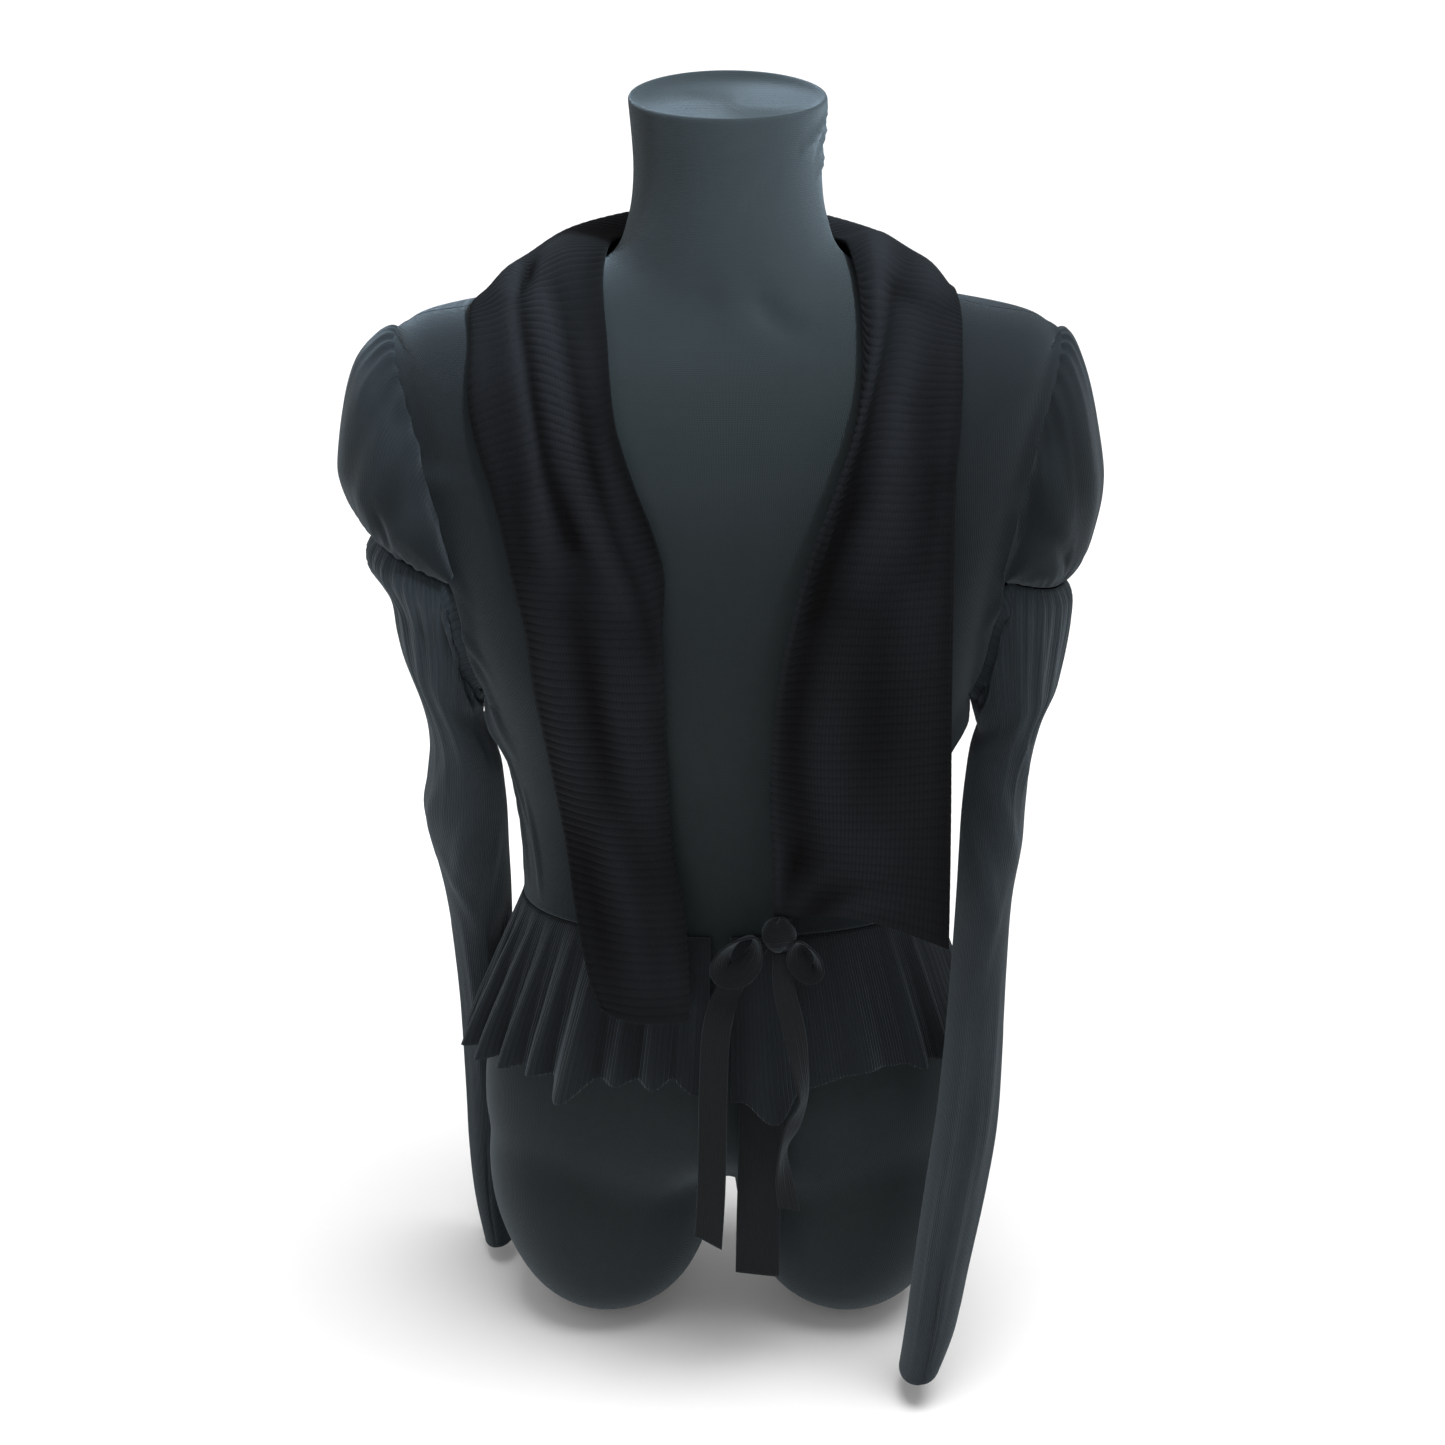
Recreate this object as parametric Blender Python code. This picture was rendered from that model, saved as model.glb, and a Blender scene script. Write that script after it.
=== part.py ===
"""A knitted shawl-collar cardigan with puffed sleeves and a fluted peplum, worn by a limbless dress form.

Metres, +Z up, the front faces -Y. "Left" and "right" are the sides that a viewer in front sees, left being
-X. The form stands on the flat ends of its two thigh stumps at Z = 0.
"""
import math

import bmesh
import bpy
import numpy as np
from mathutils import Vector
from mathutils.bvhtree import BVHTree

# Driving dimensions
JERSEY = 0.0015          # wall of the fine jersey panels
RIB_KNIT = 0.0015        # wall of the finely ribbed sleeves and peplum
BAND = 0.0020            # wall of the collar band under its ribs
TAPE = 0.0016            # wall of the ribbon tie
SEAM_GAP = 0.0003        # space between pieces that are sewn together
REST = 0.0006            # space between a piece and the one it lies on
ARMHOLE_LIFT = 0.0031    # height of the sleeves' seam over the inside of the panels
RIB_PITCH = 0.0061       # spacing of the collar's ribs along the band
RIB_HEIGHT = 0.0010      # how far a collar rib stands out
TURN_WEIGHT = 0.06       # length of cloth that one radian of turning counts for, when points are shared out
WAIST_ROW = 5.0          # row of the body table at the waist seam
NECK_ROW = 15.0          # row of the body table where the panels end under the collar
UNDERARM_ROW = 7.70      # row at the lowest point of the armhole
SHOULDER_TIP_ROW = 12.45  # row at the highest point of the armhole
ARMHOLE_HALF_ANGLE = math.radians(22)
POUCH_HEIGHT = 0.006     # knob of cloth that the underarm makes
POUCH_RADIUS = 0.016

# Sections of the dress form from the seat up to the neck. Each ring's side, front and back have heights of
# their own, so the upper rings run over the shoulders. ease is the room between the form and the cloth, and
# cleft how far the ring is drawn in between the thighs.
BODY_COLUMNS = ("half_width", "side_z", "front", "front_z", "back", "back_z", "squareness", "ease", "cleft")
CLEFT_WIDTH = 0.034
BODY = {
    "seat":        (0.1450, 0.099, 0.086, 0.099, 0.098, 0.099, 2.15, 0.0030, 0.62),
    "low_hip":     (0.1550, 0.132, 0.098, 0.132, 0.109, 0.132, 2.20, 0.0030, 0.16),
    "hip":         (0.1550, 0.168, 0.101, 0.168, 0.112, 0.168, 2.25, 0.0030, 0.00),
    "belly":       (0.148, 0.205, 0.099, 0.205, 0.103, 0.205, 2.20, 0.0030, 0.00),
    "high_hip":    (0.136, 0.245, 0.093, 0.245, 0.090, 0.245, 2.20, 0.0025, 0.00),
    "waist":       (0.1250, 0.285, 0.087, 0.285, 0.078, 0.285, 2.20, 0.0020, 0.00),
    "ribs":        (0.1245, 0.330, 0.091, 0.330, 0.080, 0.330, 2.25, 0.0020, 0.00),
    "under_bust":  (0.1330, 0.380, 0.103, 0.375, 0.087, 0.380, 2.30, 0.0021, 0.00),
    "bust":        (0.1490, 0.435, 0.117, 0.425, 0.092, 0.435, 2.35, 0.0019, 0.00),
    "chest":       (0.1630, 0.483, 0.117, 0.468, 0.096, 0.488, 2.40, 0.0013, 0.00),
    "armpit":      (0.1750, 0.527, 0.111, 0.502, 0.098, 0.535, 2.45, 0.0014, 0.00),
    "cap":         (0.1865, 0.583, 0.104, 0.536, 0.097, 0.586, 2.45, 0.0014, 0.00),
    "tip":         (0.1920, 0.624, 0.097, 0.566, 0.092, 0.624, 2.40, 0.0022, 0.00),
    "shoulder":    (0.1845, 0.6420, 0.088, 0.594, 0.082, 0.646, 2.35, 0.0018, 0.00),
    "yoke":        (0.1470, 0.6500, 0.078, 0.619, 0.071, 0.660, 2.25, 0.0012, 0.00),
    "neck_flare":  (0.1000, 0.6650, 0.067, 0.641, 0.063, 0.675, 2.10, 0.0008, 0.00),
    "neck_base":   (0.0690, 0.682, 0.060, 0.662, 0.058, 0.690, 2.00, 0.0006, 0.00),
    "neck_low":    (0.0585, 0.704, 0.0565, 0.690, 0.055, 0.711, 2.00, 0.0006, 0.00),
    "neck_middle": (0.0552, 0.733, 0.0540, 0.724, 0.054, 0.741, 2.00, 0.0006, 0.00),
    "neck_top":    (0.0580, 0.772, 0.0560, 0.763, 0.056, 0.783, 2.00, 0.0006, 0.00),
}

# Sections of one thigh stump, from inside the hip down to the flat end that it stands on
THIGH_COLUMNS = ("z", "half_width", "half_depth", "centre_x", "centre_y")
THIGH = {
    "inside_hip": (0.150, 0.0660, 0.074, 0.0800, 0.005),
    "groin":      (0.120, 0.0735, 0.085, 0.0800, 0.005),
    "thigh":      (0.094, 0.0755, 0.090, 0.0795, 0.004),
    "lower":      (0.067, 0.0720, 0.087, 0.0790, 0.004),
    "rounding":   (0.042, 0.0635, 0.078, 0.0780, 0.003),
    "cheek":      (0.022, 0.0520, 0.064, 0.0775, 0.002),
    "heel":       (0.008, 0.0370, 0.045, 0.0775, 0.001),
    "edge":       (0.0015, 0.0240, 0.030, 0.0775, 0.000),
    "sole":       (0.000, 0.0190, 0.023, 0.0775, 0.000),
}

# The sleeves' rings start at the outer point, 0 degrees, and run round the front to the inner point, 180. A
# puffed head covers the armhole down to HEAD_END on both sides; the lower sleeve is sewn to it below that.
HEAD_END = math.radians(105)
TIER_LEFT = (0.2115, 0.5185)    # outer point of the seam between head and lower sleeve, x and z
TIER_RIGHT = (0.2050, 0.4880)

# Outlines of the gathered parts at their outer side: share of the way from seam to seam, and height over it
PROFILE_COLUMNS = ("along", "height")
HEAD_PROFILE_LEFT = {
    "seam":  (0.000, 0.0000),
    "rise":  (-0.045, 0.0065),
    "crown": (0.010, 0.0136),
    "upper": (0.141, 0.0225),
    "full":  (0.346, 0.0267),
    "belly": (0.600, 0.0265),
    "turn":  (0.750, 0.0232),
    "tuck":  (0.917, 0.0131),
    "tier":  (1.000, 0.0000),
}
HEAD_PROFILE_RIGHT = {
    "seam":  (0.000, 0.0000),
    "rise":  (-0.035, 0.0069),
    "crown": (0.060, 0.0125),
    "upper": (0.219, 0.0182),
    "full":  (0.487, 0.0232),
    "belly": (0.640, 0.0224),
    "turn":  (0.789, 0.0172),
    "tuck":  (0.909, 0.0110),
    "tier":  (1.000, 0.0000),
}
SLEEVE_PROFILE_LEFT = {
    "tier":   (0.000, 0.0000),
    "flare":  (0.080, 0.0060),
    "point":  (0.190, 0.0090),
    "pleats": (0.370, 0.0030),
    "upper":  (0.530, -0.0008),
    "biceps": (0.760, 0.0004),
}
SLEEVE_PROFILE_RIGHT = {
    "tier":   (0.000, 0.0000),
    "flare":  (0.120, 0.0041),
    "point":  (0.280, 0.0049),
    "pleats": (0.450, 0.0044),
    "upper":  (0.620, 0.0035),
    "biceps": (0.800, 0.0022),
}

# Rings of the slim part of the sleeves. bow shifts a ring's front and back off the straight line between its
# outer and inner points.
SLEEVE_COLUMNS = ("outer_x", "outer_z", "inner_x", "inner_z", "bow_x", "bow_z", "front", "back", "centre_y")
SLEEVE_LEFT = {
    "narrow":  (0.1968, 0.4390, 0.1530, 0.3950, 0.0000, 0.0060, 0.0450, 0.0430, 0.001),
    "bend":    (0.1873, 0.4080, 0.1470, 0.3800, 0.0000, 0.0020, 0.0395, 0.0380, 0.003),
    "dip":     (0.1846, 0.3830, 0.1425, 0.3640, 0.0000, 0.0000, 0.0370, 0.0355, 0.008),
    "elbow":   (0.1880, 0.3560, 0.1410, 0.3450, 0.0000, 0.0000, 0.0360, 0.0350, 0.014),
    "swell":   (0.1918, 0.3330, 0.1405, 0.3260, 0.0000, 0.0000, 0.0350, 0.0350, 0.022),
    "forearm": (0.1875, 0.3000, 0.1412, 0.2980, 0.0000, 0.0000, 0.0335, 0.0340, 0.036),
    "lower":   (0.1830, 0.2620, 0.1418, 0.2620, 0.0000, 0.0000, 0.0310, 0.0320, 0.054),
    "behind":  (0.1804, 0.2200, 0.1432, 0.2200, 0.0000, 0.0000, 0.0290, 0.0290, 0.072),
    "hang":    (0.1780, 0.1750, 0.1450, 0.1750, 0.0000, 0.0000, 0.0270, 0.0270, 0.082),
    "wrist":   (0.1765, 0.1250, 0.1466, 0.1260, 0.0000, 0.0000, 0.0255, 0.0255, 0.082),
    "cuff_in": (0.1750, 0.0760, 0.1478, 0.0780, 0.0000, 0.0000, 0.0245, 0.0245, 0.076),
    "cuff":    (0.1710, 0.0400, 0.1475, 0.0430, 0.0000, 0.0000, 0.0240, 0.0240, 0.067),
    "mouth":   (0.1640, 0.0110, 0.1440, 0.0140, 0.0000, 0.0000, 0.0235, 0.0235, 0.057),
}
SLEEVE_RIGHT = {
    "narrow":  (0.1995, 0.4190, 0.1560, 0.3900, 0.0000, 0.0060, 0.0450, 0.0430, -0.006),
    "bend":    (0.1910, 0.4000, 0.1510, 0.3780, 0.0000, 0.0020, 0.0400, 0.0380, -0.012),
    "dip":     (0.1845, 0.3740, 0.1475, 0.3600, 0.0000, 0.0000, 0.0365, 0.0350, -0.021),
    "elbow":   (0.1819, 0.3500, 0.1450, 0.3420, 0.0000, 0.0000, 0.0345, 0.0340, -0.030),
    "swell":   (0.1800, 0.3280, 0.1435, 0.3240, 0.0000, 0.0000, 0.0330, 0.0330, -0.038),
    "forearm": (0.1735, 0.2980, 0.1412, 0.2960, 0.0000, 0.0000, 0.0300, 0.0310, -0.052),
    "lower":   (0.1692, 0.2600, 0.1372, 0.2600, 0.0000, 0.0000, 0.0270, 0.0280, -0.074),
    "front":   (0.1660, 0.2180, 0.1325, 0.2180, 0.0000, 0.0000, 0.0250, 0.0250, -0.094),
    "hang":    (0.1625, 0.1750, 0.1275, 0.1750, 0.0000, 0.0000, 0.0240, 0.0240, -0.107),
    "wrist":   (0.1560, 0.1350, 0.1215, 0.1350, 0.0000, 0.0000, 0.0235, 0.0235, -0.115),
    "cuff_in": (0.1472, 0.0900, 0.1155, 0.0900, 0.0000, 0.0000, 0.0230, 0.0230, -0.122),
    "cuff":    (0.1395, 0.0480, 0.1105, 0.0460, 0.0000, 0.0000, 0.0230, 0.0230, -0.127),
    "mouth":   (0.1300, 0.0220, 0.1065, 0.0160, 0.0000, 0.0000, 0.0240, 0.0240, -0.130),
}

# The collar's stations, from the hem of the left lapel round the neck to the hem of the right lapel. Each has
# the place of the band's seam, roll, inner fold, outer fold and free edge.
COLLAR_COLUMNS = ("seam", "roll", "inner_fold", "outer_fold", "edge")
COLLAR = {
    "left_hem":       ((-0.036, -0.126, 0.2500), (-0.0235, -0.132, 0.2485), (-0.041, -0.135, 0.2478),
                       (-0.058, -0.133, 0.2480), (-0.0730, -0.126, 0.2510)),
    "left_low":       ((-0.036, -0.119, 0.2700), (-0.0230, -0.126, 0.2695), (-0.044, -0.131, 0.2690),
                       (-0.064, -0.127, 0.2690), (-0.0815, -0.117, 0.2680)),
    "left_waist":     ((-0.037, -0.103, 0.3050), (-0.0255, -0.112, 0.3030), (-0.048, -0.118, 0.3035),
                       (-0.070, -0.113, 0.3050), (-0.0900, -0.102, 0.3070)),
    "left_ribs":      ((-0.044, -0.096, 0.3450), (-0.0330, -0.106, 0.3450), (-0.055, -0.112, 0.3455),
                       (-0.076, -0.106, 0.3465), (-0.0958, -0.092, 0.3480)),
    "left_under":     ((-0.047, -0.107, 0.3950), (-0.0355, -0.117, 0.3950), (-0.059, -0.119, 0.3955),
                       (-0.082, -0.113, 0.3960), (-0.1035, -0.097, 0.3960)),
    "left_bust":      ((-0.0460, -0.116, 0.4445), (-0.0380, -0.127, 0.4445), (-0.064, -0.126, 0.4445),
                       (-0.089, -0.118, 0.4440), (-0.1119, -0.101, 0.4430)),
    "left_chest":     ((-0.0395, -0.117, 0.4850), (-0.0410, -0.129, 0.4815), (-0.068, -0.124, 0.4800),
                       (-0.094, -0.116, 0.4790), (-0.1165, -0.098, 0.4785)),
    "left_upper":     ((-0.0368, -0.114, 0.5130), (-0.0484, -0.127, 0.5100), (-0.074, -0.119, 0.5085),
                       (-0.100, -0.111, 0.5065), (-0.1225, -0.094, 0.5050)),
    "left_yoke":      ((-0.0425, -0.106, 0.5370), (-0.0597, -0.120, 0.5370), (-0.085, -0.107, 0.5365),
                       (-0.107, -0.104, 0.5335), (-0.1275, -0.089, 0.5310)),
    "left_collar":    ((-0.0540, -0.096, 0.5660), (-0.0695, -0.110, 0.5650), (-0.0960, -0.092, 0.5660),
                       (-0.1110, -0.096, 0.5630), (-0.1325, -0.081, 0.5570)),
    "left_throat":    ((-0.0640, -0.083, 0.5960), (-0.0770, -0.097, 0.5940), (-0.1045, -0.075, 0.5980),
                       (-0.1160, -0.081, 0.5960), (-0.1380, -0.065, 0.5850)),
    "left_front":     ((-0.0680, -0.060, 0.6360), (-0.0865, -0.070, 0.6400), (-0.1115, -0.045, 0.6340),
                       (-0.1245, -0.052, 0.6340), (-0.1445, -0.041, 0.6170)),
    "left_shoulder":  ((-0.0700, -0.012, 0.6820), (-0.0970, -0.012, 0.6815), (-0.1165, -0.006, 0.6660),
                       (-0.1300, -0.008, 0.6700), (-0.1490, -0.010, 0.6500)),
    "left_nape":      ((-0.0600, 0.034, 0.6880), (-0.0880, 0.048, 0.6900), (-0.1050, 0.058, 0.6840),
                       (-0.1190, 0.060, 0.6690), (-0.1320, 0.064, 0.6460)),
    "left_back":      ((-0.0330, 0.055, 0.6960), (-0.0480, 0.068, 0.6995), (-0.0570, 0.082, 0.6910),
                       (-0.0640, 0.090, 0.6700), (-0.0700, 0.094, 0.6380)),
    "nape":           ((0.0000, 0.060, 0.6970), (0.0000, 0.074, 0.7010), (0.0000, 0.088, 0.6930),
                       (0.0000, 0.096, 0.6700), (0.0000, 0.100, 0.6360)),
    "right_back":     ((0.0330, 0.055, 0.6950), (0.0460, 0.066, 0.6985), (0.0550, 0.080, 0.6900),
                       (0.0620, 0.088, 0.6690), (0.0680, 0.093, 0.6380)),
    "right_nape":     ((0.0600, 0.032, 0.6860), (0.0830, 0.042, 0.6900), (0.0990, 0.054, 0.6830),
                       (0.1130, 0.058, 0.6680), (0.1270, 0.062, 0.6450)),
    "right_shoulder": ((0.0700, -0.012, 0.6800), (0.0860, -0.014, 0.6905), (0.1030, -0.012, 0.6780),
                       (0.1200, -0.012, 0.6740), (0.1345, -0.014, 0.6560)),
    "right_front":    ((0.0760, -0.052, 0.6440), (0.0850, -0.068, 0.6440), (0.0950, -0.050, 0.6420),
                       (0.1150, -0.052, 0.6400), (0.1335, -0.047, 0.6300)),
    "right_throat":   ((0.0760, -0.082, 0.5960), (0.0735, -0.098, 0.5960), (0.0840, -0.084, 0.5990),
                       (0.1060, -0.088, 0.6000), (0.1315, -0.075, 0.5980)),
    "right_collar":   ((0.0690, -0.097, 0.5600), (0.0605, -0.114, 0.5600), (0.0745, -0.100, 0.5620),
                       (0.1010, -0.102, 0.5620), (0.1300, -0.090, 0.5620)),
    "right_chest":    ((0.0580, -0.110, 0.5270), (0.0475, -0.126, 0.5275), (0.0620, -0.112, 0.5280),
                       (0.0950, -0.114, 0.5270), (0.1290, -0.100, 0.5270)),
    "right_upper":    ((0.0500, -0.117, 0.4980), (0.0385, -0.133, 0.4980), (0.0550, -0.120, 0.4990),
                       (0.0900, -0.121, 0.4980), (0.1288, -0.108, 0.4980)),
    "right_bust":     ((0.0430, -0.119, 0.4620), (0.0312, -0.135, 0.4630), (0.0480, -0.124, 0.4620),
                       (0.0870, -0.126, 0.4610), (0.1287, -0.113, 0.4610)),
    "right_under":    ((0.0380, -0.113, 0.4200), (0.0268, -0.131, 0.4220), (0.0440, -0.124, 0.4190),
                       (0.0850, -0.127, 0.4180), (0.1292, -0.115, 0.4190)),
    "right_ribs":     ((0.0370, -0.104, 0.3780), (0.0257, -0.124, 0.3820), (0.0460, -0.121, 0.3760),
                       (0.0850, -0.127, 0.3740), (0.1299, -0.117, 0.3750)),
    "right_waist":    ((0.0380, -0.099, 0.3420), (0.0272, -0.119, 0.3470), (0.0480, -0.119, 0.3420),
                       (0.0840, -0.127, 0.3400), (0.1302, -0.120, 0.3320)),
    "right_hem":      ((0.0370, -0.101, 0.3110), (0.0290, -0.1213, 0.3085), (0.0485, -0.122, 0.3115),
                       (0.0810, -0.128, 0.3110), (0.1299, -0.127, 0.2920)),
}

# Flutes of the peplum: the angle of each crest round the body (0 at +X, 90 at the front), its half width, how
# far it stands out at the hem, and how much lower the hem hangs there.
FLUTE_COLUMNS = ("angle", "half_width", "depth", "drop")
FLUTES_LEFT = {
    "front_edge":   (96.5, 4.5, 0.004, 0.002),
    "vee_inner":    (104.0, 4.0, 0.009, 0.004),
    "vee_outer":    (112.0, 4.2, 0.008, 0.002),
    "big":          (123.0, 6.0, 0.020, 0.010),
    "beside_big":   (133.5, 4.5, 0.012, 0.000),
    "third":        (143.5, 4.6, 0.013, 0.001),
    "second":       (153.5, 4.8, 0.014, 0.003),
    "first":        (163.5, 4.8, 0.014, 0.002),
    "side":         (174.5, 5.0, 0.009, 0.000),
}
FLUTES_BACK = {
    "back_1":       (190.0, 5.0, 0.008, 0.000),
    "back_2":       (204.0, 5.5, 0.008, 0.002),
    "back_3":       (219.0, 5.5, 0.011, 0.001),
    "back_4":       (234.0, 6.0, 0.012, 0.003),
    "back_5":       (250.0, 6.0, 0.010, 0.001),
    "back_6":       (266.0, 6.0, 0.013, 0.003),
    "back_7":       (282.0, 6.5, 0.010, 0.001),
    "back_8":       (299.0, 6.0, 0.012, 0.002),
    "back_9":       (316.0, 6.0, 0.009, 0.000),
    "back_10":      (332.0, 5.5, 0.008, 0.001),
    "back_11":      (347.0, 5.0, 0.005, 0.000),
}
FLUTES_RIGHT = {
    "right_side":   (10.0, 5.0, 0.004, 0.000),
    "right_fold":   (34.0, 4.0, 0.007, 0.001),
    "panel_edge":   (44.0, 4.0, 0.008, 0.002),
    "soft":         (60.0, 6.0, 0.005, 0.001),
    "corner":       (82.0, 6.0, 0.010, 0.012),
}

# The peplum's hem and flare round the body
PEPLUM_HEM_ANGLES = (0, 20, 60, 85, 92, 100, 125, 150, 180, 225, 270, 315, 360)
PEPLUM_HEM_Z = (0.196, 0.193, 0.203, 0.190, 0.192, 0.205, 0.198, 0.196, 0.194, 0.192, 0.192, 0.194, 0.196)
PEPLUM_FLARE = (0.003, 0.003, 0.008, 0.016, 0.018, 0.016, 0.014, 0.008, 0.003, 0.003, 0.005, 0.003, 0.003)

# The ribbon tie: places along each tape, the way it faces there and how far it is spread out
TIE_COLUMNS = ("x", "y", "z", "turn", "width")
KNOT_CENTRE = (0.0300, -0.1290, 0.3020)
KNOT_RADII = (0.0105, 0.0085, 0.0110)
TAIL_LEFT = {
    "knot":       (0.0226, -0.1248, 0.2949, 10, 0.0060),
    "under_loop": (0.0110, -0.1238, 0.2790, 10, 0.0110),
    "high":       (0.0000, -0.1260, 0.2640, 8, 0.0150),
    "free":       (-0.0065, -0.1330, 0.2430, 0, 0.0170),
    "middle":     (-0.0085, -0.1390, 0.2080, -4, 0.0170),
    "hang":       (-0.0090, -0.1410, 0.1740, -2, 0.0170),
    "low":        (-0.0098, -0.1415, 0.1400, 2, 0.0170),
    "end":        (-0.0115, -0.1410, 0.1080, 6, 0.0170),
}
TAIL_RIGHT = {
    "knot":   (0.0305, -0.1295, 0.2906, 10, 0.0080),
    "high":   (0.0330, -0.1330, 0.2700, 20, 0.0130),
    "slope":  (0.0390, -0.1370, 0.2460, 35, 0.0140),
    "twist":  (0.0430, -0.1390, 0.2220, 65, 0.0130),
    "bend":   (0.0450, -0.1400, 0.2020, 80, 0.0120),
    "turn":   (0.0390, -0.1400, 0.1850, 70, 0.0130),
    "narrow": (0.0330, -0.1400, 0.1670, 85, 0.0130),
    "low":    (0.0340, -0.1390, 0.1470, 50, 0.0130),
    "end":    (0.0370, -0.1385, 0.1290, 25, 0.0130),
}
END_INNER = {
    "start":  (0.0170, -0.0898, 0.2770, 4, 0.0180),
    "behind": (0.0175, -0.0960, 0.2500, 2, 0.0230),
    "under":  (0.0195, -0.1020, 0.2200, 0, 0.0270),
    "hem":    (0.0205, -0.1095, 0.1880, 0, 0.0270),
    "hang":   (0.0200, -0.1110, 0.1500, 2, 0.0270),
    "low":    (0.0190, -0.1105, 0.1050, 4, 0.0270),
    "end":    (0.0185, -0.1100, 0.0700, 4, 0.0270),
}

# Where the fronts end under the lapels: rows of the body table, and distances from the middle
FRONT_EDGE_ROWS = (5.0, 7.0, 9.0, 10.0, 11.0, 12.0, 13.0, 14.0, 15.0)
FRONT_EDGE_X = (0.040, 0.047, 0.050, 0.052, 0.062, 0.073, 0.081, 0.083, 0.080)

# Rows of the body table at which the form has rings, closer where its outline is hollow
FORM_ROWS = (0, 1, 2, 3, 4, 4.5, 5, 5.5, 6, 7, 8, 9, 10, 11, 12, 12.5, 13, 13.5, 14, 14.5, 15, 15.5, 16, 17,
             18, 19)


def columns(table):
    """The numbers of a table as rows of an array."""
    return np.array([np.ravel(row) for row in table.values()], dtype=float)


def smooth_rows(rows, at):
    """Rows of a table read at places between them, on a Catmull-Rom curve."""
    rows = np.asarray(rows, dtype=float)
    at = np.clip(np.atleast_1d(at), 0, len(rows) - 1)
    start = np.minimum(at.astype(int), len(rows) - 2)
    part = (at - start)[:, None]
    before = rows[np.maximum(start - 1, 0)]
    first = rows[start]
    second = rows[start + 1]
    after = rows[np.minimum(start + 2, len(rows) - 1)]
    return 0.5 * (2 * first + (second - before) * part
                  + (2 * before - 5 * first + 4 * second - after) * part ** 2
                  + (3 * first - before - 3 * second + after) * part ** 3)


BODY_ROWS = columns(BODY)


def body_point(row, angle):
    """Points of the form's skin, at rows of its table and angles round it."""
    row, angle = np.broadcast_arrays(np.atleast_1d(row).astype(float), np.atleast_1d(angle).astype(float))
    values = smooth_rows(BODY_ROWS, row.ravel()).T
    half_width, side_z, front, front_z, back, back_z, squareness, _, cleft = values
    cosine = np.cos(angle.ravel())
    sine = np.sin(angle.ravel())
    power = 2 / squareness
    depth = np.where(sine > 0, front, back)
    end_z = np.where(sine > 0, front_z, back_z)
    x = half_width * np.sign(cosine) * np.abs(cosine) ** power
    y = -depth * np.sign(sine) * np.abs(sine) ** power
    y *= 1 - cleft * np.exp(-(x / CLEFT_WIDTH) ** 2)
    z = side_z + (end_z - side_z) * sine ** 2
    return np.stack([x, y, z], axis=-1)


def over_body(row, angle, lift):
    """Points at a distance from the form's skin."""
    step_row = 0.05
    step_angle = math.radians(0.6)
    up = body_point(np.minimum(row + step_row, len(BODY_ROWS) - 1), angle) \
        - body_point(np.maximum(row - step_row, 0), angle)
    along = body_point(row, angle + step_angle) - body_point(row, angle - step_angle)
    normal = np.cross(up, along)
    normal /= np.linalg.norm(normal, axis=-1, keepdims=True)
    return body_point(row, angle) + normal * np.asarray(lift).reshape(-1, 1)


def ease(row):
    """Room between the form and the inside of the cloth at rows of the body table."""
    return smooth_rows(BODY_ROWS, row)[:, 7]


def grid_normals(grid, closed):
    """Unit normals of a grid of points, each the mean of those of the cells round it."""
    wide = np.concatenate([grid, grid[:, :1]], axis=1) if closed else grid
    cells = np.cross(wide[1:, 1:] - wide[:-1, :-1], wide[:-1, 1:] - wide[1:, :-1])
    cells /= np.maximum(np.linalg.norm(cells, axis=2, keepdims=True), 1e-12)
    if closed:
        cells = np.concatenate([cells[:, -1:], cells], axis=1)
    else:
        cells = np.concatenate([cells[:, :1], cells, cells[:, -1:]], axis=1)
    cells = np.concatenate([cells[:1], cells, cells[-1:]], axis=0)
    normal = cells[:-1, :-1] + cells[1:, :-1] + cells[:-1, 1:] + cells[1:, 1:]
    return normal / np.maximum(np.linalg.norm(normal, axis=2, keepdims=True), 1e-12)


def facing_out(grid, normal, closed):
    """The normals turned so that they point away from the middle of each ring, or from the body's axis."""
    if closed:
        away = grid - grid.mean(axis=1, keepdims=True)
    else:
        away = grid * np.array([1.0, 1.0, 0.0])
    return normal if (normal * away).sum() > 0 else -normal


def sew(mesh, first, second):
    """Triangles between two runs of vertices that start and end beside each other."""
    i = 0
    j = 0
    while i < len(first) - 1 or j < len(second) - 1:
        first_next = (i + 0.5) / (len(first) - 1)
        second_next = (j + 0.5) / (len(second) - 1)
        if j == len(second) - 1 or (i < len(first) - 1 and first_next <= second_next + 1e-9):
            mesh.faces.new((first[i], first[i + 1], second[j]))
            i += 1
        else:
            mesh.faces.new((first[i], second[j + 1], second[j]))
            j += 1


def add_grid(mesh, grid, closed):
    """Vertices and faces of a grid of points."""
    verts = [[mesh.verts.new(point) for point in row] for row in grid]
    count = len(verts[0])
    for upper, lower in zip(verts, verts[1:]):
        for k in range(count if closed else count - 1):
            after = (k + 1) % count
            mesh.faces.new((upper[k], upper[after], lower[after], lower[k]))
    return verts


def new_object(name, mesh, material, parent):
    """An object made of a closed mesh, its faces turned outwards and shaded smooth."""
    bmesh.ops.recalc_face_normals(mesh, faces=mesh.faces)
    data = bpy.data.meshes.new(name)
    mesh.to_mesh(data)
    mesh.free()
    data.shade_smooth()
    data.set_sharp_from_angle(angle=math.radians(50))
    data.materials.append(material)
    piece = bpy.data.objects.new(name, data)
    piece.parent = parent
    bpy.context.scene.collection.objects.link(piece)
    return piece


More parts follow.
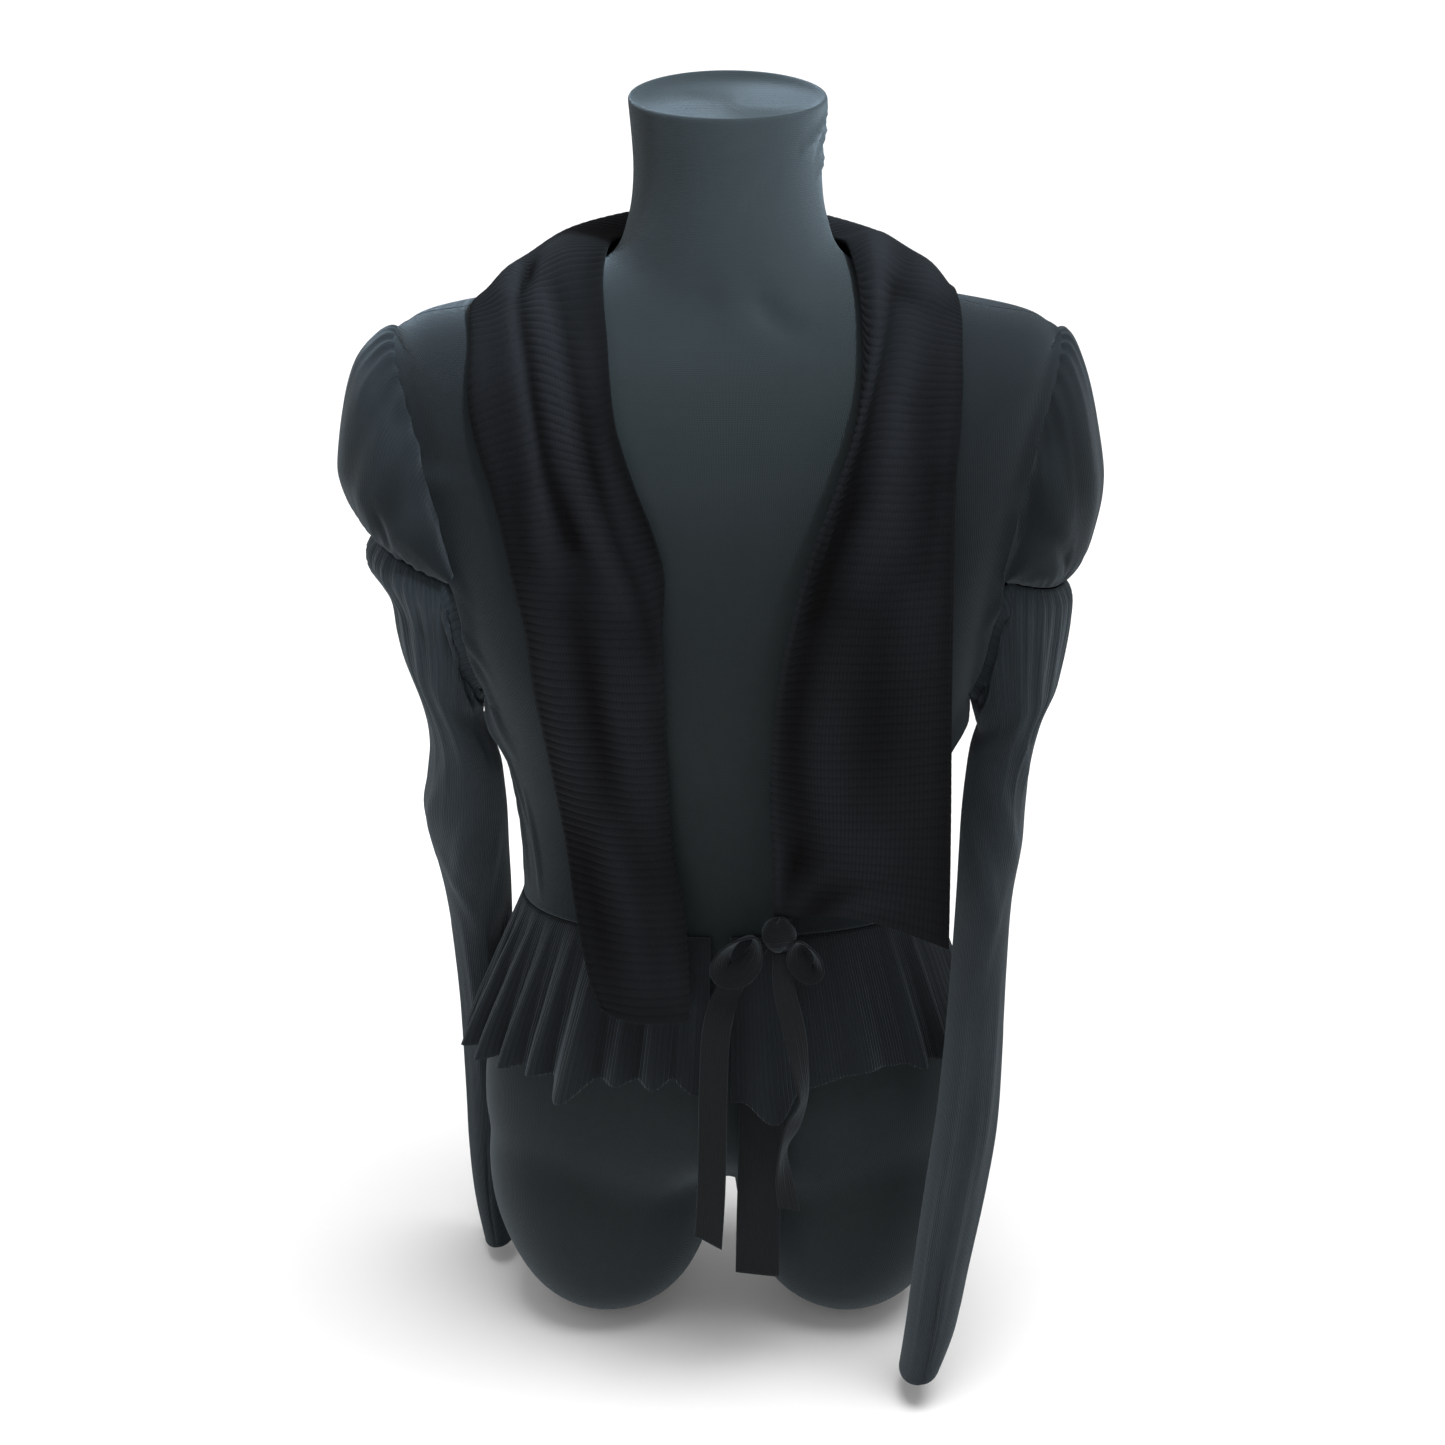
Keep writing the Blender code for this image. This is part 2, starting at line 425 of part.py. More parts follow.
def cloth_wall(name, grid, thickness, material, parent, closed=False, relief=None, thin_rows=1,
               thin_columns=1):
    """A closed wall round a grid of middle points. relief raises its outer points; its inside has fewer."""
    normal = facing_out(grid, grid_normals(grid, closed), closed)
    raised = thickness / 2 + (0 if relief is None else relief[..., None])
    outside = grid + normal * raised
    inside = (grid - normal * thickness / 2)[::thin_rows, ::thin_columns]
    mesh = bmesh.new()
    outer = add_grid(mesh, outside, closed)
    inner = add_grid(mesh, inside, closed)
    for rim in (0, -1):
        outer_run = outer[rim] + outer[rim][:1] * closed
        inner_run = inner[rim] + inner[rim][:1] * closed
        sew(mesh, outer_run, inner_run)
        if not closed:
            sew(mesh, [row[rim] for row in outer], [row[rim] for row in inner])
    new_object(name, mesh, material, parent)
    return outside


def surface_tree(grid, closed):
    """A search tree over a grid of points."""
    count = grid.shape[1]
    points = [Vector(point) for point in grid.reshape(-1, 3)]
    faces = []
    for i in range(grid.shape[0] - 1):
        for k in range(count if closed else count - 1):
            after = (k + 1) % count
            faces.append((i * count + k, i * count + after, (i + 1) * count + after, (i + 1) * count + k))
    return BVHTree.FromPolygons(points, faces)


def keep_clear(points, tree, distance, outward):
    """Points moved out where they come nearer to a surface than a distance."""
    shape = points.shape
    distance = np.broadcast_to(distance, shape[:-1]).ravel()
    cleared = []
    for point, wanted in zip(points.reshape(-1, 3), distance):
        place = Vector(point)
        near, normal, _, gap = tree.find_nearest(place)
        if normal.dot(near - Vector(outward(near))) < 0:
            normal = -normal
        if (place - near).dot(normal) < 0:
            gap = -gap
        if gap < wanted:
            place = place + normal * (wanted - gap)
        cleared.append(place[:])
    return np.array(cleared).reshape(shape)


def outside_of(points, trees, distance):
    """Points moved out, level and away from the body's axis, to a distance from every surface."""
    shape = points.shape
    cleared = points.reshape(-1, 3).copy()
    reach = 0.4
    for place in cleared:
        radius = math.hypot(place[0], place[1])
        angle = math.atan2(place[1], place[0])
        blocked = 0.0
        for turn in (-0.05, -0.025, 0.0, 0.025, 0.05):
            away = Vector((math.cos(angle + turn), math.sin(angle + turn), 0.0))
            for rise in (-0.020, -0.010, 0.0, 0.010, 0.020):
                start = away * reach + Vector((0.0, 0.0, place[2] + rise))
                for tree in trees:
                    _, _, _, gap = tree.ray_cast(start, -away, reach)
                    if gap is not None:
                        blocked = max(blocked, reach - gap)
        if radius < blocked + distance:
            place[0] = math.cos(angle) * (blocked + distance)
            place[1] = math.sin(angle) * (blocked + distance)
    return cleared.reshape(shape)


def body_axis(point):
    """The nearest point on the upright line through the body."""
    return (0.0, 0.0, point.z)


def knit_material(name, colour, roughness):
    """A matt black knit."""
    material = bpy.data.materials.new(name)
    material.use_nodes = True
    shader = material.node_tree.nodes["Principled BSDF"]
    shader.inputs["Base Color"].default_value = (*colour, 1.0)
    shader.inputs["Roughness"].default_value = roughness
    shader.inputs["Metallic"].default_value = 0.0
    return material


def ring_mesh(rings):
    """A closed mesh through rings of points, with a flat face at each end."""
    mesh = bmesh.new()
    verts = add_grid(mesh, rings, True)
    mesh.faces.new(verts[0])
    mesh.faces.new(verts[-1])
    return mesh


def thigh_rings(side, count):
    """Rings of points of one thigh stump."""
    angles = np.linspace(0, 2 * math.pi, count, endpoint=False)
    rings = []
    for z, half_width, half_depth, centre_x, centre_y in THIGH.values():
        rings.append(np.stack([side * centre_x + half_width * np.cos(angles),
                               centre_y + half_depth * np.sin(angles), np.full(count, z)], axis=1))
    return np.array(rings)


def build_form(material, parent):
    """The dress form: one body with two thigh stumps joined to it."""
    angles = np.linspace(0, 2 * math.pi, 26, endpoint=False)
    rings = np.array([body_point(level, angles) for level in FORM_ROWS])
    form = new_object("form", ring_mesh(rings), material, parent)
    for side in (-1, 1):
        thigh = new_object(f"thigh_shape_{'left' if side < 0 else 'right'}", ring_mesh(thigh_rings(side, 18)),
                           material, parent)
        thigh.hide_render = True
        thigh.display_type = "WIRE"
        join = form.modifiers.new(thigh.name, "BOOLEAN")
        join.operation = "UNION"
        join.solver = "EXACT"
        join.object = thigh


def spaced(points, count, inset):
    """Points of a curve, closer where it turns, starting and ending an inset from its ends."""
    steps = np.diff(points, axis=0)
    lengths = np.linalg.norm(steps, axis=1)
    heading = steps / lengths[:, None]
    turning = np.concatenate([[0], np.linalg.norm(np.diff(heading, axis=0), axis=1)])
    along = np.concatenate([[0], np.cumsum(lengths)])
    measure = np.concatenate([[0], np.cumsum(lengths + TURN_WEIGHT * turning)])
    places = np.interp(np.linspace(0, measure[-1], count), measure, along)
    places = inset[0] + places * (along[-1] - inset[0] - inset[1]) / along[-1]
    return np.stack([np.interp(places, along, points[:, axis]) for axis in range(3)], axis=1)


def armhole_half_angle(row):
    """Half of the armhole's width, as an angle round the body, at a row of the body table."""
    part = (row - UNDERARM_ROW) / (SHOULDER_TIP_ROW - UNDERARM_ROW)
    return ARMHOLE_HALF_ANGLE * math.sqrt(max(0.0, 1 - (2 * part - 1) ** 2))


def front_edge_x(row):
    """Where the fronts end under the lapels."""
    return float(np.interp(row, FRONT_EDGE_ROWS, FRONT_EDGE_X))


def panel_rows():
    """Rows of the body table at which the panels have points, closer where the armhole curves away."""
    lower = np.linspace(WAIST_ROW, UNDERARM_ROW, 5)[:-1]
    middle = UNDERARM_ROW + (SHOULDER_TIP_ROW - UNDERARM_ROW) * (1 - np.cos(np.linspace(0, math.pi, 12))) / 2
    upper = np.linspace(SHOULDER_TIP_ROW, NECK_ROW, 5)[1:]
    return np.concatenate([lower, middle, upper])


def pouch(points, side):
    """Cloth pushed out into a small knob under the arm, in front of the side seam."""
    angle = math.radians(13)
    centre = over_body(UNDERARM_ROW - 0.30, math.pi - angle if side < 0 else angle, 0.0)[0]
    distance = np.linalg.norm(points - centre, axis=-1, keepdims=True)
    return points + np.array([side, 0, 0]) * POUCH_HEIGHT * np.exp(-(distance / POUCH_RADIUS) ** 2)


def build_front(side, material, parent):
    """One front, from the side seam to its edge under the lapel."""
    name = "left" if side < 0 else "right"
    grid = []
    for row in panel_rows():
        half_width, _, _, _, _, _, squareness, room, _ = smooth_rows(BODY_ROWS, row)[0]
        edge_angle = math.acos(min(1.0, (front_edge_x(row) / half_width) ** (squareness / 2)))
        angles = np.linspace(armhole_half_angle(row), edge_angle, 160)
        if side < 0:
            angles = math.pi - angles
        curve = over_body(np.full(angles.shape, row), angles, np.full(angles.shape, room + JERSEY / 2))
        grid.append(spaced(curve, 10, (SEAM_GAP / 2 + 0.0002, 0)))
    outside = cloth_wall(f"front_{name}", pouch(np.array(grid), side), JERSEY, material, parent)
    return surface_tree(outside, False)


def build_back(material, parent):
    """The back, from one side seam to the other."""
    grid = []
    for row in panel_rows():
        room = ease(row)[0]
        inset = armhole_half_angle(row)
        angles = np.linspace(math.pi + inset, 2 * math.pi - inset, 320)
        curve = over_body(np.full(angles.shape, row), angles, np.full(angles.shape, room + JERSEY / 2))
        grid.append(spaced(curve, 17, (SEAM_GAP / 2 + 0.0002, SEAM_GAP / 2 + 0.0002)))
    grid = pouch(pouch(np.array(grid), -1), 1)
    return surface_tree(cloth_wall("back", grid, JERSEY, material, parent), False)


def armhole_ring(side, angles, lift):
    """The armhole's seam on the panels, at angles from its highest point round the front to the underarm."""
    row = UNDERARM_ROW + (SHOULDER_TIP_ROW - UNDERARM_ROW) * (1 + np.cos(angles)) / 2
    turn = ARMHOLE_HALF_ANGLE * np.sin(angles)
    return over_body(row, math.pi - turn if side < 0 else turn, ease(row) + lift)


def sleeve_ring(values, side, angles):
    """One ring of a sleeve from its row of the table."""
    outer_x, outer_z, inner_x, inner_z, bow_x, bow_z, front, back, centre_y = values
    outer_share = (1 + np.cos(angles)) / 2
    bow_share = np.sin(angles) ** 2
    x = inner_x + (outer_x - inner_x) * outer_share + bow_x * bow_share
    z = inner_z + (outer_z - inner_z) * outer_share + bow_z * bow_share
    y = centre_y - np.where(np.sin(angles) > 0, front, back) * np.sin(angles)
    return np.stack([side * x, y, z], axis=1)


def signed(angles):
    """Angles brought between minus and plus half a turn."""
    return (angles + math.pi) % (2 * math.pi) - math.pi


def tier_seam(side, outer, angles):
    """The seam between head and lower sleeve, which meets the armhole in front and behind."""
    angles = signed(angles)
    share = np.clip(angles / HEAD_END, -1, 1) * math.pi / 2
    ends = armhole_ring(side, np.where(angles < 0, -HEAD_END, HEAD_END), ARMHOLE_LIFT)
    x = side * ends[:, 0] + 0.004 + (outer[0] - side * ends[:, 0] - 0.004) * np.cos(share)
    y = ends[:, 1] * np.abs(np.sin(share)) * (1 + 0.14 * np.abs(np.sin(2 * share)))
    z = outer[1] + (ends[:, 2] - 0.003 - outer[1]) * (1 - np.cos(share))
    return np.stack([side * x, y, z], axis=1)


def bulged(first, last, profile, side, angles):
    """Rings between two seams, standing over the straight way between them as the profile does."""
    angles = signed(angles)
    across = (last - first)[np.argmin(np.abs(angles))]
    up = np.array([-side * across[2], 0.0, side * across[0]]) / np.linalg.norm(across)
    towards = np.outer(np.cos(angles), up) + np.outer(np.sin(angles), (0.0, -1.0, 0.0))
    amount = 0.04 + 0.96 * np.clip(np.cos(angles / 2), 0, 1) ** 1.6
    return [first + (last - first) * along + towards * (height * amount)[:, None]
            for along, height in columns(profile)]


def gathers(angles, spread, rows, heights):
    """Heights of the gathers round a seam, at rows whose own heights are given."""
    angles = signed(angles)
    reach = np.clip(np.cos(angles * spread), 0, 1) ** 0.6
    uneven = 0.72 + 0.28 * np.cos(angles * 3 + 1.0)
    crest = np.where(np.arange(len(angles)) % 2 == 0, 0.0, 1.0)
    tall = np.interp(np.arange(rows), np.linspace(0, rows - 1, len(heights)), heights)
    return tall[:, None] * (reach * uneven * crest)[None, :]


def build_sleeve_head(side, profile, tier, material, parent):
    """A puffed sleeve head, from the armhole's upper part to the seam of the lower sleeve."""
    name = "left" if side < 0 else "right"
    angles = np.linspace(-HEAD_END + 0.03, HEAD_END - 0.03, 41)
    seam = armhole_ring(side, angles, ARMHOLE_LIFT)
    rings = np.array(bulged(seam, tier_seam(side, tier, angles), profile, side, angles))
    relief = gathers(angles, 0.75, len(rings), (0.0, 0.0022, 0.0024, 0.0012, 0.0, 0.0, 0.0008, 0.0012, 0.0))
    cloth_wall(f"sleeve_head_{name}", rings, JERSEY, material, parent, relief=relief, thin_columns=2)


def sleeve_top(side, tier, angles):
    """The lower sleeve's upper edge: under the head's seam, then on the armhole below the head's ends."""
    under = tier_seam(side, tier, angles) - np.array([0.0, 0.0, SEAM_GAP + JERSEY])
    low = armhole_ring(side, angles, ARMHOLE_LIFT)
    return np.where(np.abs(signed(angles))[:, None] < HEAD_END + 0.01, under, low)


def build_sleeve(side, profile, tier, table, clear_of, material, parent):
    """A slim lower sleeve, gathered at its top and open at the cuff."""
    name = "left" if side < 0 else "right"
    angles = np.linspace(0, 2 * math.pi, 24, endpoint=False)
    tube = [sleeve_ring(values, side, angles) for values in columns(table)]
    gathered = bulged(sleeve_top(side, tier, angles), tube[0], profile, side, angles)
    rings = np.array(gathered + tube)
    rings[1:] = outside_of(rings[1:], clear_of, RIB_KNIT / 2 + REST * 5)
    relief = gathers(angles, 0.5, len(rings), (0.0, 0.0024, 0.0010, 0.0, 0.0, 0.0, 0.0, 0.0, 0.0))
    cloth_wall(f"sleeve_{name}", rings, RIB_KNIT, material, parent, closed=True, relief=relief,
               thin_columns=2)


def flute_sum(table, degrees):
    """How far the flutes stand out, and how much lower the hem hangs, at angles round the body."""
    out = np.zeros_like(degrees)
    drop = np.zeros_like(degrees)
    for angle, half_width, depth, lower in table.values():
        away = np.clip(np.abs(degrees - angle) / half_width, 0, 1)
        ridge = 0.5 + 0.5 * np.cos(math.pi * away)
        out += depth * ridge
        drop += lower * ridge
    return out, drop


def peplum_grid(table, first, last, step, rows):
    """Middle points of one part of the peplum, from the waist seam down to the hem."""
    degrees = np.linspace(first, last, int(round((last - first) / step)) + 1)
    out, drop = flute_sum(table, degrees)
    top_z = float(body_point(WAIST_ROW, 0.0)[0][2]) - SEAM_GAP - 0.0005
    hem_z = np.interp(degrees % 360, PEPLUM_HEM_ANGLES, PEPLUM_HEM_Z) - drop
    flare_here = np.interp(degrees % 360, PEPLUM_HEM_ANGLES, PEPLUM_FLARE)
    grid = []
    for part in np.linspace(0, 1, rows):
        z = top_z + (hem_z - top_z) * part
        row = np.interp(z, BODY_ROWS[:6, 1], np.arange(6))
        angle = np.radians(degrees)
        spread = ease(row) + RIB_KNIT / 2 + flare_here * part ** 0.5 + out * part ** 0.8
        points = over_body(row, angle, spread)
        points[:, 2] = z
        grid.append(points)
    return np.array(grid)


def build_peplum(material, parent):
    """The peplum's three parts. Gives back search trees over the outside of each."""
    trees = []
    seam_angle = math.degrees(SEAM_GAP / BODY_ROWS[5, 0])
    for name, table, first, last in (("left", FLUTES_LEFT, 93.5, 180 - seam_angle),
                                     ("back", FLUTES_BACK, 180 + seam_angle, 360 - seam_angle),
                                     ("right", FLUTES_RIGHT, seam_angle, 89.5)):
        grid = peplum_grid(table, first, last, 2.2 if name == "left" else 3.0, 5)
        outside = cloth_wall(f"peplum_{name}", grid, RIB_KNIT, material, parent, thin_rows=2)
        trees.append(surface_tree(outside, False))
    return trees


def collar_grid(stations, across):
    """Middle points of the collar band, at places along it and across it."""
    rows = columns(COLLAR).reshape(len(COLLAR), len(COLLAR_COLUMNS), 3)
    along = smooth_rows(rows.reshape(len(rows), -1), stations).reshape(len(stations), len(COLLAR_COLUMNS), 3)
    return np.array([smooth_rows(section, across) for section in along])


def even_stations(pitch):
    """Places along the collar that are one pitch apart on its middle line."""
    fine = np.linspace(0, len(COLLAR) - 1, 1200)
    middle = collar_grid(fine, np.array([2.0]))[:, 0]
    along = np.concatenate([[0], np.cumsum(np.linalg.norm(np.diff(middle, axis=0), axis=1))])
    count = int(round(along[-1] / pitch / 4)) * 4
    return np.interp(np.linspace(0, along[-1], count * 2 + 1), along, fine)


def build_collar(cloth_tree, material, parent):
    """The shawl collar with its ribs."""
    stations = even_stations(RIB_PITCH)
    across = np.arange(5.0)
    grid = collar_grid(stations, across)
    clearance = np.array([0.0023, 0.0080, 0.0070, 0.0034, 0.0026])
    grid = keep_clear(grid, cloth_tree, clearance[None, :], body_axis)
    relief = np.where(np.arange(len(stations)) % 2 == 0, 0.0, RIB_HEIGHT)[:, None] * np.ones((1, len(across)))
    cloth_wall("collar", grid, BAND, material, parent, relief=relief, thin_rows=4)


def ribbon(name, path, turns, widths, material, parent, closed=False, slant=0.0):
    """A flat tape along a path. turns gives the direction across the tape, in degrees from +X about Z."""
    path = np.asarray(path, dtype=float)
    turn = np.radians(np.asarray(turns, dtype=float))
    across = np.stack([np.cos(turn), np.sin(turn), np.zeros_like(turn)], axis=1)
    along = np.gradient(path, axis=0)
    along /= np.linalg.norm(along, axis=1, keepdims=True)
    across -= along * (across * along).sum(axis=1, keepdims=True)
    across /= np.linalg.norm(across, axis=1, keepdims=True)
    face = np.cross(along, across)
    mesh = bmesh.new()
    rings = []
    for i, (point, side, out, width) in enumerate(zip(path, across, face, widths)):
        lean = along[i] * slant if i == len(path) - 1 else np.zeros(3)
        edge = side * width / 2 + lean
        half = out * TAPE / 2
        rings.append([point - edge - half, point + edge - half, point + edge + half, point - edge + half])
    verts = [[mesh.verts.new(corner) for corner in ring] for ring in rings]
    pairs = list(zip(verts, verts[1:])) + ([(verts[-1], verts[0])] if closed else [])
    for first, second in pairs:
        for k in range(4):
            mesh.faces.new((first[k], first[(k + 1) % 4], second[(k + 1) % 4], second[k]))
    if not closed:
        mesh.faces.new(verts[0])
        mesh.faces.new(verts[-1])
    new_object(name, mesh, material, parent)


def smooth_path(table, count):
    """A path, its turns and its widths, read from a table of places at equal steps."""
    rows = smooth_rows(columns(table), np.linspace(0, len(table) - 1, count))
    return rows[:, :3], rows[:, 3], rows[:, 4]


def loop_path(centre, half_width, half_height, lean, count):
    """A teardrop loop of tape, narrow towards the knot."""
    points = []
    for k in range(count):
        a = 2 * math.pi * k / count
        pinch = 0.62 + 0.38 * math.sin(a / 2)
        x = half_width * math.cos(a)
        z = half_height * math.sin(a) * pinch
        points.append((centre[0] + x * math.cos(lean) - z * math.sin(lean), centre[1],
                       centre[2] + x * math.sin(lean) + z * math.cos(lean)))
    return np.array(points)


def build_tie(material, parent):
    """The bow at the waist and its hanging ends."""
    mesh = bmesh.new()
    bmesh.ops.create_icosphere(mesh, subdivisions=2, radius=1.0)
    for vert in mesh.verts:
        vert.co = Vector(KNOT_CENTRE) + Vector(c * r for c, r in zip(vert.co, KNOT_RADII))
    new_object("tie_knot", mesh, material, parent)
    left = loop_path((0.0057, -0.1340, 0.2900), 0.0170, 0.0120, math.radians(48), 20)
    ribbon("tie_loop_left", left, np.full(20, 84), np.full(20, 0.0120), material, parent, closed=True)
    right = loop_path((0.0469, -0.1310, 0.2880), 0.0110, 0.0070, math.radians(118), 16)
    ribbon("tie_loop_right", right, np.full(16, 100), np.full(16, 0.0110), material, parent, closed=True)
    ribbon("tie_tail_left", *smooth_path(TAIL_LEFT, 18), material, parent, slant=-0.0055)
    ribbon("tie_tail_right", *smooth_path(TAIL_RIGHT, 22), material, parent, slant=0.0040)
    ribbon("tie_end_inner", *smooth_path(END_INNER, 16), material, parent, slant=0.0020)


def settle(root):
    """The root empty moved so that the whole part is centred on the Z axis and stands at Z = 0."""
    bpy.context.view_layer.update()
    corners = []
    for piece in root.children:
        if not piece.hide_render:
            corners += [vert.co[:] for vert in piece.data.vertices]
    corners = np.array(corners)
    low = corners.min(axis=0)
    high = corners.max(axis=0)
    root.location = (-(low[0] + high[0]) / 2, -(low[1] + high[1]) / 2, 0.0)


def build():
    """The whole part."""
    for piece in list(bpy.data.objects):
        bpy.data.objects.remove(piece, do_unlink=True)
    jersey = knit_material("black_jersey", (0.017, 0.019, 0.021), 0.92)
    fine_rib = knit_material("black_fine_rib", (0.015, 0.017, 0.020), 0.90)
    wide_rib = knit_material("black_wide_rib", (0.012, 0.013, 0.015), 0.90)
    tape = knit_material("black_ribbed_tape", (0.016, 0.017, 0.018), 0.85)
    form_cover = knit_material("form_cover_jersey", (0.030, 0.034, 0.036), 0.88)
    root = bpy.data.objects.new("cardigan", None)
    bpy.context.scene.collection.objects.link(root)

    build_form(form_cover, root)
    panel_trees = [build_front(-1, jersey, root), build_front(1, jersey, root), build_back(jersey, root)]
    fine_rows = np.linspace(0, NECK_ROW + 2.5, 120)
    fine_angles = np.linspace(0, 2 * math.pi, 180, endpoint=False)
    skin = np.array([over_body(np.full(fine_angles.shape, row), fine_angles,
                               np.full(fine_angles.shape, ease(row)[0] + JERSEY)) for row in fine_rows])
    cloth_tree = surface_tree(skin, True)
    hip_tree = surface_tree(skin[:50], True)
    build_sleeve_head(-1, HEAD_PROFILE_LEFT, TIER_LEFT, jersey, root)
    build_sleeve_head(1, HEAD_PROFILE_RIGHT, TIER_RIGHT, jersey, root)
    peplum_trees = build_peplum(fine_rib, root)
    for side, profile, tier, table in ((-1, SLEEVE_PROFILE_LEFT, TIER_LEFT, SLEEVE_LEFT),
                                       (1, SLEEVE_PROFILE_RIGHT, TIER_RIGHT, SLEEVE_RIGHT)):
        clear_of = [surface_tree(thigh_rings(side, 48), True), hip_tree] + panel_trees + peplum_trees
        build_sleeve(side, profile, tier, table, clear_of, fine_rib, root)
    build_collar(cloth_tree, wide_rib, root)
    build_tie(tape, root)
    settle(root)


build()
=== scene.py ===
"""A knitted shawl-collar cardigan with puffed sleeves and a fluted peplum, on a limbless dress form."""
import math

import bmesh
import bpy
import numpy as np
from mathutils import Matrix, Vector
from mathutils.bvhtree import BVHTree


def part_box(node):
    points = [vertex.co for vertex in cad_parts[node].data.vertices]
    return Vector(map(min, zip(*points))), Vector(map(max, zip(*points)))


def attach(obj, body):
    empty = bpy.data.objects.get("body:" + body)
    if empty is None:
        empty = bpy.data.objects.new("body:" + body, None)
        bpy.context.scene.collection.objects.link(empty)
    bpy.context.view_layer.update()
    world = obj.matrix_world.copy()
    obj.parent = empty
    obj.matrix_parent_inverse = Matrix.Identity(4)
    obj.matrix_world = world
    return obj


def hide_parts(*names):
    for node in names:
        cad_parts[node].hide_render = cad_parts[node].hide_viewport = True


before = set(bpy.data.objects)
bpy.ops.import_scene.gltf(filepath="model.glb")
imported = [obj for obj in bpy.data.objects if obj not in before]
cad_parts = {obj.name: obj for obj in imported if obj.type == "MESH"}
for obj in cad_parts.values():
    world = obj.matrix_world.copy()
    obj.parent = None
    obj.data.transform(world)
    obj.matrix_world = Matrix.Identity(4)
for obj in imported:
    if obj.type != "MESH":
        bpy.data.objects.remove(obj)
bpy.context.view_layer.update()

# The dress form
# A limbless display form of an adult: neck, torso and two thigh stumps with flat soles. A padded core under
# a tight cover of charcoal jersey, which is drawn over the top of the neck.
MM = 0.001                       # named rows, folds and gathers are given in millimetres
FORM_MIDDLE_Y = -0.0025          # middle of the form's own box before the whole part is centred
CLEFT_WIDTH = 0.034
BODY = {  # half_width, side_z, front, front_z, back, back_z, squareness, room under cloth, cleft
    "seat": (145, 99, 86, 99, 98, 99, 2.15, 3, 0.62),
    "low_hip": (155, 132, 98, 132, 109, 132, 2.2, 3, 0.16),
    "hip": (155, 168, 101, 168, 112, 168, 2.25, 3, 0),
    "belly": (148, 205, 99, 205, 103, 205, 2.2, 3, 0),
    "high_hip": (136, 245, 93, 245, 90, 245, 2.2, 2.5, 0),
    "waist": (125, 285, 87, 285, 78, 285, 2.2, 2, 0),
    "ribs": (124.5, 330, 91, 330, 80, 330, 2.25, 2, 0),
    "under_bust": (133, 380, 103, 375, 87, 380, 2.3, 2.1, 0),
    "bust": (149, 435, 117, 425, 92, 435, 2.35, 1.9, 0),
    "chest": (163, 483, 117, 468, 96, 488, 2.4, 1.3, 0),
    "armpit": (175, 527, 111, 502, 98, 535, 2.45, 1.4, 0),
    "cap": (186.5, 583, 104, 536, 97, 586, 2.45, 1.4, 0),
    "tip": (192, 624, 97, 566, 92, 624, 2.4, 2.2, 0),
    "shoulder": (184.5, 642, 88, 594, 82, 646, 2.35, 1.8, 0),
    "yoke": (147, 650, 78, 619, 71, 660, 2.25, 1.2, 0),
    "neck_flare": (100, 665, 67, 641, 63, 675, 2.1, 0.8, 0),
    "neck_base": (69, 682, 60, 662, 58, 690, 2, 0.6, 0),
    "neck_low": (58.5, 704, 56.5, 690, 55, 711, 2, 0.6, 0),
    "neck_middle": (55.2, 733, 54, 724, 54, 741, 2, 0.6, 0),
    "neck_top": (58, 772, 56, 763, 56, 783, 2, 0.6, 0),
}
BODY_UNITS = np.array([MM, MM, MM, MM, MM, MM, 1.0, MM, 1.0])
THIGH = {  # z, half_width, half_depth, centre_x, centre_y
    "inside_hip": (150, 66, 74, 80, 5),
    "groin": (120, 73.5, 85, 80, 5),
    "thigh": (94, 75.5, 90, 79.5, 4),
    "lower": (67, 72, 87, 79, 4),
    "rounding": (42, 63.5, 78, 78, 3),
    "cheek": (22, 52, 64, 77.5, 2),
    "heel": (8, 37, 45, 77.5, 1),
    "edge": (1.5, 24, 30, 77.5, 0),
    "sole": (0, 19, 23, 77.5, 0),
}
form_low, form_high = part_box("form")
SHIFT = np.array([(form_low[0] + form_high[0]) / 2, (form_low[1] + form_high[1]) / 2 - FORM_MIDDLE_Y, 0.0])


def columns(table):
    """The numbers of a table as rows of an array."""
    return np.array([np.ravel(row) for row in table.values()], dtype=float)


def smooth_rows(rows, at):
    """Rows of a table read at places between them, on a Catmull-Rom curve."""
    rows = np.asarray(rows, dtype=float)
    at = np.clip(np.atleast_1d(at), 0, len(rows) - 1)
    start = np.minimum(at.astype(int), len(rows) - 2)
    part = (at - start).reshape((-1,) + (1,) * (rows.ndim - 1))
    before = rows[np.maximum(start - 1, 0)]
    first = rows[start]
    second = rows[start + 1]
    after = rows[np.minimum(start + 2, len(rows) - 1)]
    return 0.5 * (2 * first + (second - before) * part
                  + (2 * before - 5 * first + 4 * second - after) * part ** 2
                  + (3 * first - before - 3 * second + after) * part ** 3)


BODY_ROWS = columns(BODY) * BODY_UNITS


def body_point(row, angle):
    """Points of the form's skin, at rows of its table and angles round it."""
    row, angle = np.broadcast_arrays(np.atleast_1d(row).astype(float), np.atleast_1d(angle).astype(float))
    values = smooth_rows(BODY_ROWS, row.ravel()).T
    half_width, side_z, front, front_z, back, back_z, squareness, _, cleft = values
    cosine = np.cos(angle.ravel())
    sine = np.sin(angle.ravel())
    power = 2 / squareness
    depth = np.where(sine > 0, front, back)
    end_z = np.where(sine > 0, front_z, back_z)
    x = half_width * np.sign(cosine) * np.abs(cosine) ** power
    y = -depth * np.sign(sine) * np.abs(sine) ** power
    y *= 1 - cleft * np.exp(-(x / CLEFT_WIDTH) ** 2)
    z = side_z + (end_z - side_z) * sine ** 2
    return np.stack([x, y, z], axis=-1)


def whole_turn(count):
    """Angles at even steps round a full turn."""
    return np.linspace(0, math.tau, count, endpoint=False)


